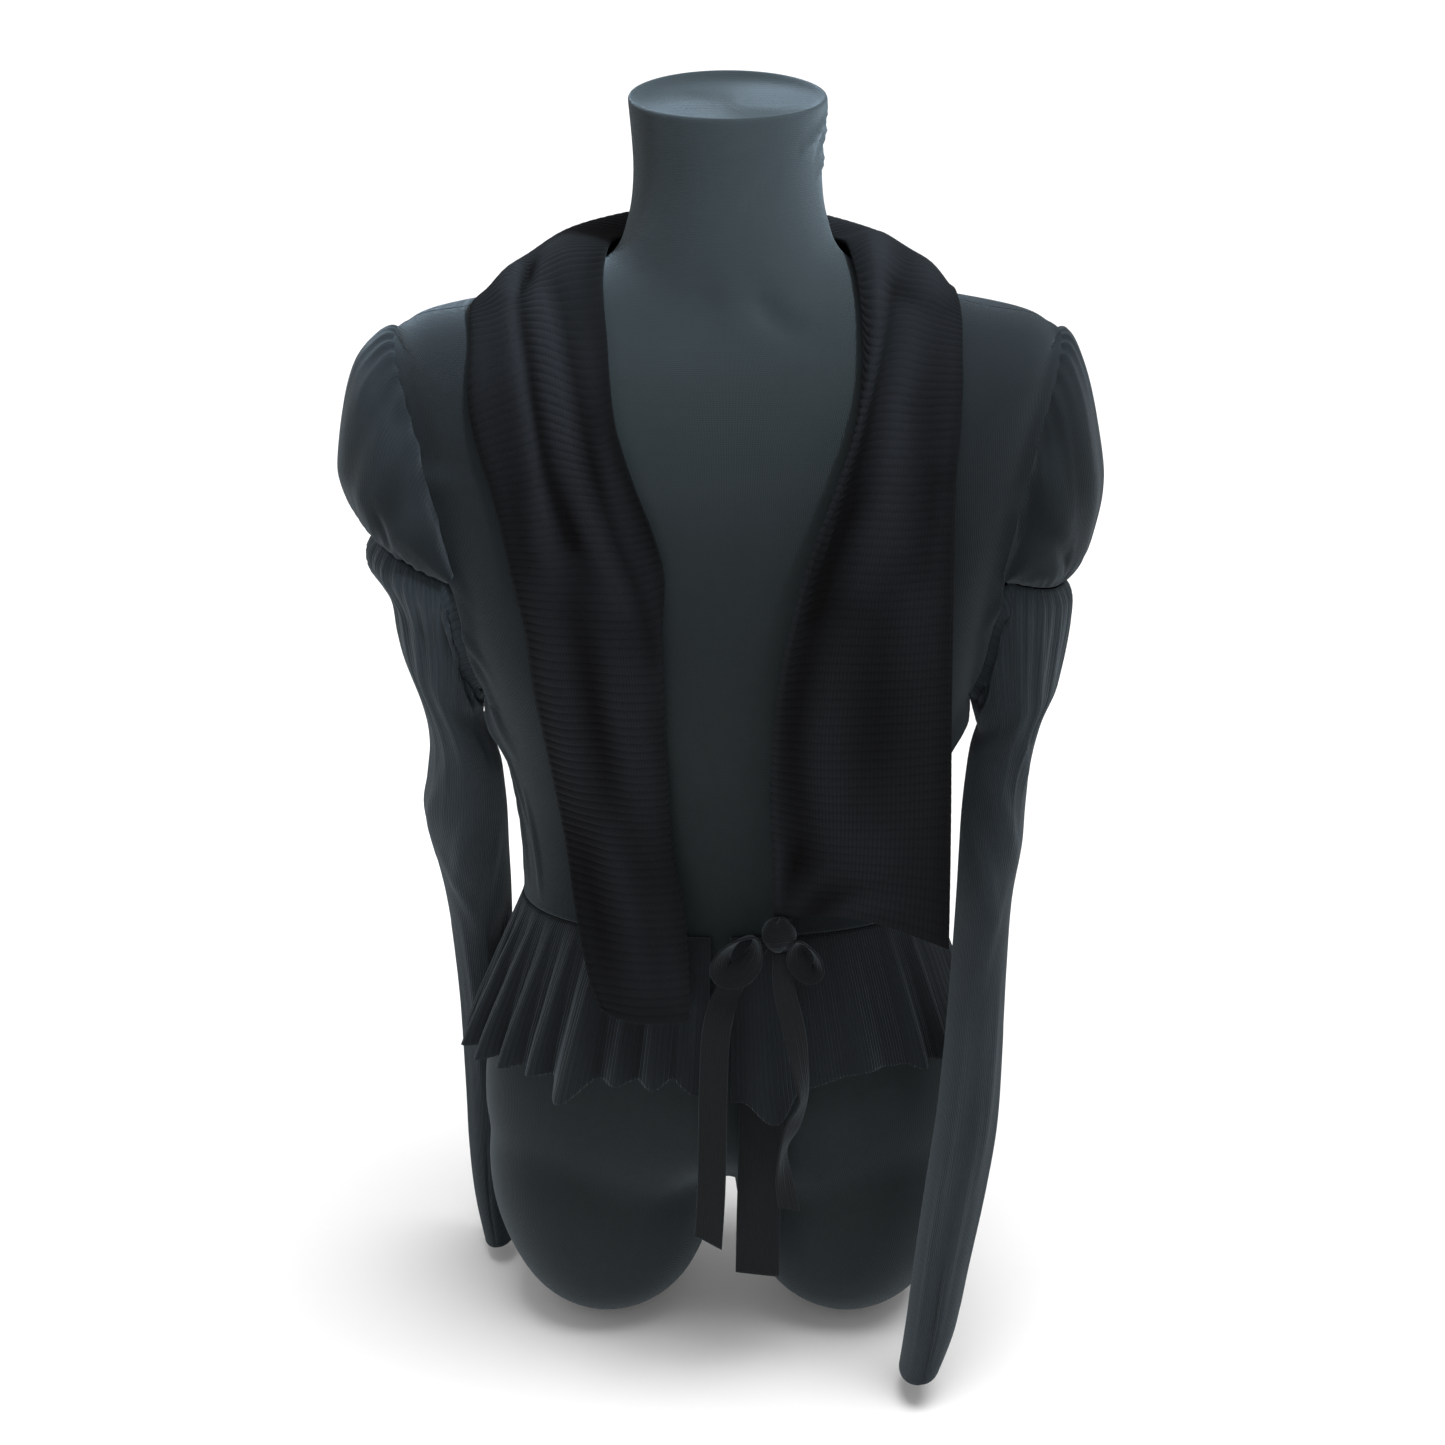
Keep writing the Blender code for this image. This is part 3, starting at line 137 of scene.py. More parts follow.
def quads(rows, count, closed, start=0):
    """Corner numbers of the faces of a grid of points."""
    index = start + np.arange(rows * count).reshape(rows, count)
    if closed:
        index = np.concatenate([index, index[:, :1]], axis=1)
    return np.stack([index[:-1, :-1], index[:-1, 1:], index[1:, 1:], index[1:, :-1]], axis=-1).reshape(-1, 4)


def capped(rows, count, start=0):
    """Corner numbers of the faces of a grid of rings with both ends filled."""
    end = start + rows * count
    ends = [list(range(start, start + count)), list(range(end - count, end))]
    return quads(rows, count, True, start).tolist() + ends


def new_piece(name, points, faces, material, cloth=None):
    """A piece of points and faces at the part's place. cloth gives each point's place on the cloth."""
    data = bpy.data.meshes.new(name)
    data.from_pydata((np.asarray(points) + SHIFT).tolist(), [], [list(map(int, face)) for face in faces])
    if cloth is not None:
        places = cloth.astype(float).ravel()
        data.attributes.new("cloth", "FLOAT_VECTOR", "POINT").data.foreach_set("vector", places)
    mesh = bmesh.new()
    mesh.from_mesh(data)
    bmesh.ops.recalc_face_normals(mesh, faces=mesh.faces)
    mesh.to_mesh(data)
    mesh.free()
    data.shade_smooth()
    data.materials.append(material)
    piece = bpy.data.objects.new(name, data)
    bpy.context.scene.collection.objects.link(piece)
    return piece


def linear(colour):
    """An sRGB hex colour as linear red, green, blue and alpha."""
    parts = [int(colour[i:i + 2], 16) / 255 for i in (1, 3, 5)]
    return tuple(c / 12.92 if c <= 0.04045 else ((c + 0.055) / 1.055) ** 2.4 for c in parts) + (1.0,)


def add_node(material, kind, settings=None, links=None):
    """A shader node with its settings and the outputs that feed it."""
    node = material.node_tree.nodes.new(kind)
    for key, value in (settings or {}).items():
        if isinstance(key, int) or key in node.inputs:
            node.inputs[key].default_value = value
        else:
            setattr(node, key, value)
    for key, source in (links or {}).items():
        material.node_tree.links.new(source, node.inputs[key])
    return node


def maths(material, operation, *values):
    """The result of a shader sum of numbers and of other nodes' outputs."""
    numbers = {index: value for index, value in enumerate(values) if isinstance(value, float)}
    outputs = {index: value for index, value in enumerate(values) if not isinstance(value, float)}
    return add_node(material, "ShaderNodeMath", {"operation": operation, **numbers}, outputs).outputs[0]


def ridges(material, place, spacing):
    """Rounded ridges at an even spacing, from 0 between them to 1 on their crests."""
    wave = maths(material, "SINE", maths(material, "MULTIPLY", place, math.pi / spacing))
    return maths(material, "ABSOLUTE", wave)


def knit_finish(name, yarn, shade, wale, course, depth, roughness, sheen, rib=0.0, rib_depth=0.0,
                reach=0.0024, least=0.10):
    """A matt knit. wale and course are the stitch's width and height, rib the spacing of fine ribs, reach
    the height of its folds and least the share of its colour that is left deep in them. The colour is painted
    darker deep in the folds as painted shade and paler on their ridges as painted highlight, and the darker
    shade colour is painted into the grooves between wales and ribs as painted shade."""
    material = bpy.data.materials.new(name)
    material.use_nodes = True
    shader = material.node_tree.nodes["Principled BSDF"]
    shader.inputs["Roughness"].default_value = roughness
    shader.inputs["IOR"].default_value = 1.45
    shader.inputs["Specular IOR Level"].default_value = 0.1
    shader.inputs["Sheen Weight"].default_value = sheen
    shader.inputs["Sheen Roughness"].default_value = 0.45
    shader.inputs["Sheen Tint"].default_value = linear("#aab8c2")
    place = add_node(material, "ShaderNodeAttribute", {"attribute_name": "cloth"}).outputs["Vector"]
    across, down, fold_shade_mask = add_node(material, "ShaderNodeSeparateXYZ", links={0: place}).outputs
    position = add_node(material, "ShaderNodeTexCoord").outputs["Object"]
    fuzz = add_node(material, "ShaderNodeTexNoise", {"Scale": 2600.0, "Detail": 3.0, "Roughness": 0.7},
                    {"Vector": position}).outputs[0]
    wear = add_node(material, "ShaderNodeTexNoise", {"Scale": 14.0, "Detail": 5.0, "Roughness": 0.6},
                    {"Vector": position}).outputs[0]
    wale_crest = ridges(material, across, wale)
    slope = maths(material, "MULTIPLY", wale_crest, 1.6)
    course_angle = maths(material, "MULTIPLY_ADD", down, 2 * math.pi / course, slope)
    loops = maths(material, "MULTIPLY_ADD", maths(material, "SINE", course_angle), 0.35, wale_crest)
    height = maths(material, "MULTIPLY_ADD", fuzz, 0.5, loops)
    bump = add_node(material, "ShaderNodeBump", {"Strength": 0.8, "Distance": depth}, {"Height": height})
    crest = wale_crest
    if rib:
        crest = maths(material, "POWER", ridges(material, across, rib), 0.5)
        bump = add_node(material, "ShaderNodeBump", {"Strength": 1.0, "Distance": rib_depth},
                        {"Height": crest, "Normal": bump.outputs[0]})
    # Painted shade in the grooves: the darker shade colour is painted between wales and ribs, and the yarn
    # colour on their crests in random patches, over a fine random speckle
    groove_shade_patches = maths(material, "MULTIPLY", crest, wear)
    speckle_and_groove_shade = add_node(material, "ShaderNodeMath", {"operation": "MULTIPLY_ADD", 1: 0.5, "use_clamp": True},
                       {0: fuzz, 2: groove_shade_patches})
    colour = add_node(material, "ShaderNodeMix", {"data_type": "RGBA", 6: linear(shade), 7: linear(yarn)},
                      {0: speckle_and_groove_shade.outputs[0]})
    # Painted shade and highlight: the colour is painted darker in folds, down to least of it where the cloth
    # lies reach below its surroundings, and paler on ridges, up to 1.2 times where it stands reach above them
    fold_shade_factor = add_node(material, "ShaderNodeMapRange", {1: -reach, 2: reach, 3: least, 4: 1.20},
                      {0: fold_shade_mask})
    fold_shaded_colour = add_node(material, "ShaderNodeVectorMath", {"operation": "SCALE"},
                    {0: colour.outputs[2], "Scale": fold_shade_factor.outputs[0]})
    material.node_tree.links.new(fold_shaded_colour.outputs[0], shader.inputs["Base Color"])
    material.node_tree.links.new(bump.outputs[0], shader.inputs["Normal"])
    return material


# Charcoal viscose jersey, knitted fine and stretched smooth: 1.2 mm stitches with a soft, even, matt grain
form_jersey = knit_finish("charcoal_form_jersey", "#262c2e", "#1a1f20", 0.0012, 0.0010, 0.00012, 0.9, 0.25)

# Wrinkles of the cover: angle and height at both ends, half width, height; the two deepest are chest dents
FORM_CREASES = (
    (2, 768, 40, 746, 2.4, 2.2), (4, 758, 26, 740, 2.2, -1.6), (-12, 760, 10, 748, 2.4, 2),
    (-6, 742, 20, 730, 2.4, 1.8), (40, 752, 95, 744, 3, 0.8), (60, 735, 90, 700, 5, -0.7),
    (74, 668, 69, 640, 8.5, -5), (100, 672, 104, 636, 10, -3.6), (60, 560, 120, 552, 10, 0.6),
)
CREASE_DEGREE = 0.001            # length of cover for one degree round the neck
FORM_SPLIT = 0.262               # height where the torso overlaps the softened hips, under the peplum
HIP_TOP_ROW = 5.3
NECK_CUT_ROW = 17.2
TOP_ROW = 19
TORSO_POINTS = 240
TORSO_ROWS = 170
HIP_ROWS = 60
THIGH_POINTS = 90
SOFTENING_VOXEL = 0.0036
SOFTENING_STEPS = 40
SOLE_ROUNDING = 0.0012           # what lies lower than this is flat on the ground
COVER_RADIUS = 0.12
# Closed top of the neck: share of the rim's radius, height over the rim
NECK_TOP = ((0.992, 1.0), (0.975, 1.4), (0.950, 0.8), (0.925, -0.6), (0.88, -2.2), (0.80, -3.2),
            (0.65, -3.6), (0.45, -3.8), (0.2, -3.8), (0.02, -3.8))


def grid_normals(grid, closed):
    """Unit normals of a grid of points, pointing away from the middle of its rings or from the body."""
    wide = np.concatenate([grid[:, -1:], grid, grid[:, :1]], axis=1) if closed else grid
    across = np.gradient(wide, axis=1)
    if closed:
        across = across[:, 1:-1]
    normal = np.cross(np.gradient(grid, axis=0), across)
    normal /= np.maximum(np.linalg.norm(normal, axis=2, keepdims=True), 1e-12)
    away = grid - grid.mean(axis=1, keepdims=True) if closed else grid * np.array([1.0, 1.0, 0.0])
    return normal if (normal * away).sum() > 0 else -normal


def fold_heights(across, down, folds, wide, long):
    """Heights of soft folds over a cloth, from the places of their ends. wide and long are the lengths of
    one unit across and down it."""
    across = across * wide
    down = down * long
    total = np.zeros(np.broadcast(across, down).shape)
    for first_across, first_down, last_across, last_down, half_width, height in folds:
        beside = across - first_across * wide
        below = down - first_down * long
        run_across = (last_across - first_across) * wide
        run_down = (last_down - first_down) * long
        share = (beside * run_across + below * run_down) / (run_across ** 2 + run_down ** 2)
        held = np.clip(share, 0, 1)
        gap = np.hypot(beside - run_across * held, below - run_down * held)
        swell = 0.3 + 0.7 * np.sin(math.pi * held)
        total += height * MM * np.exp(-(gap / (half_width * MM)) ** 2) * swell
    return total


def wrinkled(rings, levels, angles):
    """Rings of the torso with the cover's wrinkles, the top of the neck cut along one slanted plane."""
    degrees = np.degrees(angles)[None, :]
    degrees = np.where(degrees > 200, degrees - 360, degrees)
    relief = fold_heights(degrees, rings[..., 2] / MM, FORM_CREASES, CREASE_DEGREE, MM)
    values = smooth_rows(BODY_ROWS, levels)
    sine = np.sin(angles)[None, :]
    end_z = np.where(sine > 0, values[:, 3:4], values[:, 5:6])
    level_top = np.clip((levels - NECK_CUT_ROW) / (TOP_ROW - NECK_CUT_ROW), 0, 1)[:, None] ** 2
    rings = rings + grid_normals(rings, True) * relief[..., None]
    rings[..., 2] += (end_z - values[:, 1:2]) * (np.abs(sine) - sine ** 2) * level_top
    return rings


def thigh_rings(side, rows, angles):
    """Rings of one thigh stump, from rows of its table."""
    return np.array([np.stack([side * centre_x + half_width * np.cos(angles),
                               centre_y + half_depth * np.sin(angles), np.full(len(angles), z)], axis=1)
                     for z, half_width, half_depth, centre_x, centre_y in rows])


form_angles = whole_turn(TORSO_POINTS)
split_row = float(np.interp(FORM_SPLIT, BODY_ROWS[:, 1], np.arange(len(BODY_ROWS))))
levels = np.linspace(split_row, TOP_ROW, TORSO_ROWS)
torso = wrinkled(np.array([body_point(level, form_angles) for level in levels]), levels, form_angles)
neck_rim = torso[-1]
neck_middle = neck_rim.mean(axis=0)
for share, lift in NECK_TOP:
    torso = np.concatenate([torso, [neck_middle + (neck_rim - neck_middle) * share + [0, 0, lift * MM]]])
hip_levels = np.linspace(0, HIP_TOP_ROW, HIP_ROWS)
form_points = [np.array([body_point(level, form_angles) for level in hip_levels]).reshape(-1, 3)]
form_faces = capped(HIP_ROWS, TORSO_POINTS)
thigh_rows = smooth_rows(columns(THIGH) * MM, np.linspace(0, len(THIGH) - 1, HIP_ROWS))
for side in (-1, 1):
    start = sum(len(part) for part in form_points)
    form_points.append(thigh_rings(side, thigh_rows, whole_turn(THIGH_POINTS)).reshape(-1, 3))
    form_faces += capped(HIP_ROWS, THIGH_POINTS, start)
form_shape = new_piece("form_shape", np.concatenate(form_points), form_faces, form_jersey)
joined = form_shape.modifiers.new("joined", "REMESH")
joined.mode = "VOXEL"
joined.voxel_size = SOFTENING_VOXEL
soft = form_shape.modifiers.new("soft", "SMOOTH")
soft.factor = 0.5
soft.iterations = SOFTENING_STEPS
bpy.context.view_layer.update()
hips = bpy.data.meshes.new_from_object(form_shape.evaluated_get(bpy.context.evaluated_depsgraph_get()))
bpy.data.objects.remove(form_shape, do_unlink=True)
hip_points = np.empty(len(hips.vertices) * 3)
hips.vertices.foreach_get("co", hip_points)
hip_points = hip_points.reshape(-1, 3) - SHIFT
hip_points[:, 2] = np.where(hip_points[:, 2] < SOLE_ROUNDING, 0.0, hip_points[:, 2])
hip_faces = [[corner + len(torso) * TORSO_POINTS for corner in face.vertices] for face in hips.polygons]
form_points = np.concatenate([torso.reshape(-1, 3), hip_points])
form_cloth = np.stack([np.arctan2(form_points[:, 1], form_points[:, 0]) * COVER_RADIUS, form_points[:, 2],
                       np.zeros(len(form_points))], axis=1)
form_faces = capped(len(torso), TORSO_POINTS) + hip_faces
form_cover = new_piece("form_cover", form_points, form_faces, form_jersey, form_cloth)
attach(form_cover, "root")
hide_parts("form")

# The bodice: back and two fronts
# Three panels of fine black jersey, cut to shape and sewn at the shoulders and sides. They lie close on the
# form and are drawn in at the waist seam, so that soft folds run from the armholes and bust to the waist.
JERSEY = 0.0015
SEAM_GAP = 0.0003
WAIST_ROW = 5.0
NECK_ROW = 15.0
UNDERARM_ROW = 7.70
SHOULDER_TIP_ROW = 12.45
ARMHOLE_HALF_ANGLE = math.radians(22)
ARMHOLE_INSET = 0.0004
POUCH_HEIGHT = 0.006
POUCH_RADIUS = 0.016
FRONT_EDGE_ROWS = (5.0, 7.0, 9.0, 10.0, 11.0, 12.0, 13.0, 14.0, 15.0)
FRONT_EDGE_X = (0.040, 0.047, 0.050, 0.052, 0.062, 0.073, 0.081, 0.083, 0.080)
FRONT_POINTS = 72
BACK_POINTS = 124
TURN_DEPTH = 0.62                # the body's depth over its width, for angles round it
TURN_DEGREE = 0.0024             # length of cloth for one degree round the body
FOLD_DEPTH = 1.8
FOLD_REACH = 0.024
SEAM_SWELL = 0.0040              # the turned seam allowance lifts the panels beside the armholes
SWELL_WIDTH = 0.011
# Folds: angle round the body from its side and height at both ends, half width, height over the cloth
FOLDS_FRONT_LEFT = (
    (6, 415, 18, 300, 5, 1.6), (14, 440, 27, 330, 4.5, 1.2), (22, 455, 31, 390, 6, 1.4),
    (10, 400, 14, 295, 3.5, -0.6), (19, 520, 33, 490, 6, 1.4), (20, 560, 36, 560, 7, 1.2),
    (21, 470, 34, 440, 5, 1.2), (30, 360, 31, 295, 4, 1.2), (3, 360, 6, 290, 4, 1.2),
)
FOLDS_FRONT_RIGHT = (
    (5, 412, 15, 305, 5, 1.6), (13, 435, 22, 345, 4.5, 1), (20, 500, 30, 470, 6, 1.4),
    (19, 555, 34, 545, 7, 1.2), (24, 370, 27, 300, 4.5, 1.2),
)
FOLDS_BACK = (
    (8, 420, 22, 330, 6, 1.6), (20, 400, 33, 295, 5.5, 1.4), (40, 390, 47, 292, 5, 1.2),
    (62, 380, 66, 290, 6, 1.4), (84, 370, 82, 292, 5, 1), (104, 385, 98, 292, 5.5, 1.4),
    (124, 375, 118, 290, 5, 1.2), (146, 395, 133, 295, 6, 1.4), (170, 425, 152, 330, 6, 1.6),
    (30, 560, 46, 600, 8, 1.4), (150, 565, 136, 600, 8, 1.4), (60, 470, 90, 500, 9, 1),
)


def over_body(row, angle, lift):
    """Points at a distance from the form's skin."""
    step_row = 0.05
    step_angle = math.radians(0.6)
    up = body_point(np.minimum(row + step_row, len(BODY_ROWS) - 1), angle) \
        - body_point(np.maximum(row - step_row, 0), angle)
    along = body_point(row, angle + step_angle) - body_point(row, angle - step_angle)
    normal = np.cross(up, along)
    normal /= np.linalg.norm(normal, axis=-1, keepdims=True)
    return body_point(row, angle) + normal * np.asarray(lift).reshape(-1, 1)


def room(row):
    """Room between the form and the inside of the cloth at rows of the body table."""
    return smooth_rows(BODY_ROWS, row)[:, 7]


def armhole_half_angle(row):
    """Half of the armhole's width, as an angle round the body, at a row of the body table."""
    part = (row - UNDERARM_ROW) / (SHOULDER_TIP_ROW - UNDERARM_ROW)
    return ARMHOLE_HALF_ANGLE * math.sqrt(max(0.0, 1 - (2 * part - 1) ** 2))


def lengths_along(curve):
    """How far each point of a curve is from its start, along it."""
    return np.concatenate([[0], np.cumsum(np.linalg.norm(np.diff(curve, axis=0), axis=1))])


def evenly(curve, count, inset):
    """Points of a curve at equal steps, starting and ending an inset from its ends."""
    along = lengths_along(curve)
    places = np.linspace(inset[0], along[-1] - inset[1], count)
    return np.stack([np.interp(places, along, curve[:, axis]) for axis in range(3)], axis=1)


def averaged(grid, axis, count, closed):
    """A grid of points averaged over a number of neighbours along one axis."""
    half = max(1, min(count, grid.shape[axis] - 1) // 2)
    pad = [(0, 0), (0, 0), (0, 0)]
    pad[axis] = (half, half)
    beyond = {"mode": "wrap"} if closed else {"mode": "reflect", "reflect_type": "odd"}
    padded = np.pad(grid, pad, **beyond)
    total = np.cumsum(padded, axis=axis)
    total = np.concatenate([np.zeros_like(np.take(total, [0], axis=axis)), total], axis=axis)
    length = grid.shape[axis]
    first = np.take(total, range(0, length), axis=axis)
    last = np.take(total, range(2 * half + 1, 2 * half + 1 + length), axis=axis)
    return (last - first) / (2 * half + 1)


def standing(grid, normal, closed):
    """How far each point of a cloth stands out from the mean surface round it."""
    smooth = grid
    for axis, wrapped in ((0, False), (1, closed)):
        step = np.linalg.norm(np.diff(grid, axis=axis), axis=2).mean()
        for _ in range(2):
            smooth = averaged(smooth, axis, int(FOLD_REACH / step), wrapped)
    return ((grid - smooth) * normal).sum(axis=2)


def knit_wall(name, grid, thickness, material, closed, across, down, relief=None, shade=0.0):
    """A closed wall of cloth round a grid of middle points, raised on its outer side by the relief. The
    third part of each point's place on the cloth is how far it stands out, plus the shade: the material
    paints it darker in folds as painted shade and paler on ridges as painted highlight, and shade adds
    painted shade where it is below zero and painted highlight where it is above."""
    normal = grid_normals(grid, closed)
    raised = thickness / 2 + (0 if relief is None else relief[..., None])
    outside = grid + normal * raised
    inside = grid - normal * thickness / 2
    rows, count = grid.shape[:2]
    size = rows * count
    faces = [quads(rows, count, closed), quads(rows, count, closed, size)[:, ::-1]]
    index = np.arange(size).reshape(rows, count)
    rims = [index[0], index[-1]]
    if closed:
        rims = [np.append(rim, rim[0]) for rim in rims]
    else:
        rims += [index[:, 0], index[:, -1]]
    for rim in rims:
        faces.append(np.stack([rim[:-1], rim[1:], rim[1:] + size, rim[:-1] + size], axis=1))
    # Painted shade and highlight: how far the cloth stands out from its surroundings, plus the given shade,
    # sets how much darker or paler the material paints it
    fold_shade_heights = standing(grid, normal, closed) + shade
    places = np.stack(np.broadcast_arrays(across, down, fold_shade_heights), axis=-1).reshape(-1, 3)
    piece = new_piece(name, np.concatenate([outside.reshape(-1, 3), inside.reshape(-1, 3)]),
                      np.concatenate(faces), material, np.concatenate([places, places]))
    return piece, outside


def search_tree(grid, closed):
    """A search tree over a grid of points."""
    faces = [tuple(face) for face in quads(*grid.shape[:2], closed).tolist()]
    return BVHTree.FromPolygons([Vector(p) for p in grid.reshape(-1, 3)], faces)


def pouch(points, side):
    """Cloth pushed out into a small knob under the arm, in front of the side seam."""
    angle = math.radians(13)
    centre = over_body(UNDERARM_ROW - 0.30, math.pi - angle if side < 0 else angle, 0.0)[0]
    distance = np.linalg.norm(points - centre, axis=-1, keepdims=True)
    return points + np.array([side, 0, 0]) * POUCH_HEIGHT * np.exp(-(distance / POUCH_RADIUS) ** 2)


# Black viscose jersey, fine and a little worn in random paler patches: a flat matt black with a faint blue
# bloom and 1.3 mm stitches, painted darker in its folds as painted shade and paler on their ridges as painted
# highlight
black_jersey = knit_finish("black_fine_jersey", "#1b2023", "#0f1214", 0.0013, 0.0011, 0.00015, 0.92, 0.22)

lower_rows = np.linspace(WAIST_ROW, UNDERARM_ROW, 50)[:-1]
steps = np.linspace(0, 1, 74)
eased = 0.55 * steps + 0.225 * (1 - np.cos(math.pi * steps))
armhole_rows = UNDERARM_ROW + (SHOULDER_TIP_ROW - UNDERARM_ROW) * eased
upper_rows = np.linspace(SHOULDER_TIP_ROW, NECK_ROW, 32)[1:]
panel_rows = np.concatenate([lower_rows, armhole_rows, upper_rows])
panel_trees = []
for side, name, folds in ((-1, "front_left", FOLDS_FRONT_LEFT), (1, "front_right", FOLDS_FRONT_RIGHT),
                          (0, "back", FOLDS_BACK)):
    grid = []
    for row in panel_rows:
        values = smooth_rows(BODY_ROWS, row)[0]
        half_hole = armhole_half_angle(row)
        if side:
            edge_x = float(np.interp(row, FRONT_EDGE_ROWS, FRONT_EDGE_X))
            edge_angle = math.acos(min(1.0, (edge_x / values[0]) ** (values[6] / 2)))
            angles = np.linspace(half_hole, edge_angle, 200)
            angles = math.pi - angles if side < 0 else angles
        else:
            angles = np.linspace(math.pi + half_hole, 2 * math.pi - half_hole, 360)
        curve = over_body(np.full(angles.shape, row), angles, np.full(angles.shape, values[7] + JERSEY / 2))
        if side:
            grid.append(evenly(curve, FRONT_POINTS, (ARMHOLE_INSET, 0.0)))
        else:
            grid.append(evenly(curve, BACK_POINTS, (ARMHOLE_INSET, ARMHOLE_INSET)))
    grid = np.array(grid)
    grid = pouch(grid, side) if side else pouch(pouch(grid, -1), 1)
    sideways = np.abs(grid[..., 0]) if side else -grid[..., 0]
    turn = np.degrees(np.arctan2(np.abs(grid[..., 1]) / TURN_DEPTH, sideways))
    relief = fold_heights(turn, grid[..., 2] / MM, folds, TURN_DEGREE, MM) * FOLD_DEPTH
    from_ends = np.minimum(np.arange(len(grid)), np.arange(len(grid))[::-1])
    edge_fade = np.clip(from_ends / 6, 0, 1)[:, None]
    beside_armhole = np.array([lengths_along(row) for row in grid])
    if not side:
        beside_armhole = np.minimum(beside_armhole, beside_armhole[:, -1:] - beside_armhole)
    along_armhole = (panel_rows - UNDERARM_ROW) * (SHOULDER_TIP_ROW + 0.35 - panel_rows) / 1.6
    swell = SEAM_SWELL * np.exp(-(beside_armhole / SWELL_WIDTH) ** 2) * np.clip(along_armhole, 0, 1)[:, None]
    grid = grid + grid_normals(grid, False) * (np.maximum(relief, 0) * edge_fade + swell)[..., None]
    piece, outside = knit_wall(name + "_panel", grid, JERSEY, black_jersey, False, turn * TURN_DEGREE,
                               grid[..., 2])
    panel_trees.append(search_tree(outside, False))
    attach(piece, "root")
    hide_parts(name)
    flat = (0.200, 0.410) if side else (0.420, 0.440)

# The sleeve heads
# Short puffed upper sleeves of the same jersey, gathered into the armhole and joined by a gathered seam to
# the slim lower sleeves. The cloth stands out over the shoulder and falls in a blouse over the lower seam.
ARMHOLE_LIFT = 0.0031
HEAD_END = math.radians(105)
TIER_LEFT = (0.2115, 0.5185)
TIER_RIGHT = (0.2050, 0.4880)
HEAD_ROWS = 72
HEAD_POINTS = 210
HEAD_DEGREE = 0.00096            # length of cloth for one degree round the sleeve
HEAD_LENGTH = 0.13
GATHER_DEPTH = 0.8
HEAD_PROFILE_LEFT = {  # along, height
    "seam": (0, 0),
    "rise": (-0.008, 5.5),
    "crown": (0.038, 13),
    "upper": (0.15, 22.2),
    "full": (0.346, 26.7),
    "belly": (0.6, 26.5),
    "turn": (0.75, 23.2),
    "tuck": (0.917, 13.1),
    "tier": (1, 0),
}
HEAD_PROFILE_RIGHT = {
    "seam": (0, 0),
    "rise": (-0.004, 5.8),
    "crown": (0.07, 12),
    "upper": (0.222, 18.2),
    "full": (0.487, 23.2),
    "belly": (0.64, 22.4),
    "turn": (0.789, 17.2),
    "tuck": (0.909, 11),
    "tier": (1, 0),
}
# Gathers: angle at the seam, length over the sleeve, drift in angle, half width as an angle, height
HEAD_GATHERS = (
    (-98, 0.3, -2, 2.6, 1.6), (-88, 0.42, 3, 2.4, 2.2), (-79, 0.28, -2, 2.2, 1.8), (-70, 0.5, 4, 2.8, 2.4),
    (-60, 0.34, 1, 2.2, 1.9), (-51, 0.46, -3, 2.6, 2.2), (-41, 0.3, 2, 2.4, 1.7), (-31, 0.52, 3, 2.8, 2.1),
    (-20, 0.36, -2, 2.4, 1.6), (-9, 0.44, 2, 2.6, 1.8), (2, 0.3, -1, 2.4, 1.5), (12, 0.5, 4, 2.8, 2),
    (22, 0.36, 2, 2.3, 2.1), (31, 0.46, 5, 2.6, 2.4), (40, 0.32, 3, 2.2, 2), (49, 0.55, 6, 2.8, 2.6),
    (58, 0.36, 4, 2.2, 2.2), (66, 0.48, 6, 2.5, 2.6), (75, 0.3, 3, 2.2, 2), (84, 0.42, 5, 2.5, 2.2),
    (94, 0.26, 2, 2.3, 1.6),
)
# Long folds on the puff: angle and share of the way down at both ends, half width, height
HEAD_FOLDS_LEFT = (
    (66, 0.2, 40, 0.86, 7.5, 4), (84, 0.34, 62, 0.92, 6, 3), (40, 0.28, 18, 0.84, 8.5, 2.8),
    (52, 0.62, 70, 0.97, 5, -2.2), (20, 0.5, 6, 0.95, 7, 2.2), (-30, 0.3, -16, 0.88, 8, 2.8),
    (-60, 0.26, -44, 0.9, 7.5, 3.4), (-82, 0.4, -70, 0.94, 6, 2.6),
)
HEAD_FOLDS_RIGHT = (
    (70, 0.16, 58, 0.7, 7, 3.2), (86, 0.42, 58, 0.93, 6.5, 3.6), (38, 0.26, 30, 0.9, 9, 2.6),
    (66, 0.66, 40, 0.97, 5, -2.2), (12, 0.44, 8, 0.93, 8, 2), (-26, 0.3, -18, 0.88, 8, 2.8),
    (-56, 0.26, -46, 0.9, 7.5, 3.4), (-80, 0.4, -68, 0.94, 6, 2.6),
)


def armhole_ring(side, angles, lift):
    """The armhole's seam on the panels, at angles from its highest point round the front to the underarm."""
    row = UNDERARM_ROW + (SHOULDER_TIP_ROW - UNDERARM_ROW) * (1 + np.cos(angles)) / 2
    turn = ARMHOLE_HALF_ANGLE * np.sin(angles)
    return over_body(row, math.pi - turn if side < 0 else turn, room(row) + lift)


def signed(angles):
    """Angles brought between minus and plus half a turn."""
    return (angles + math.pi) % (2 * math.pi) - math.pi


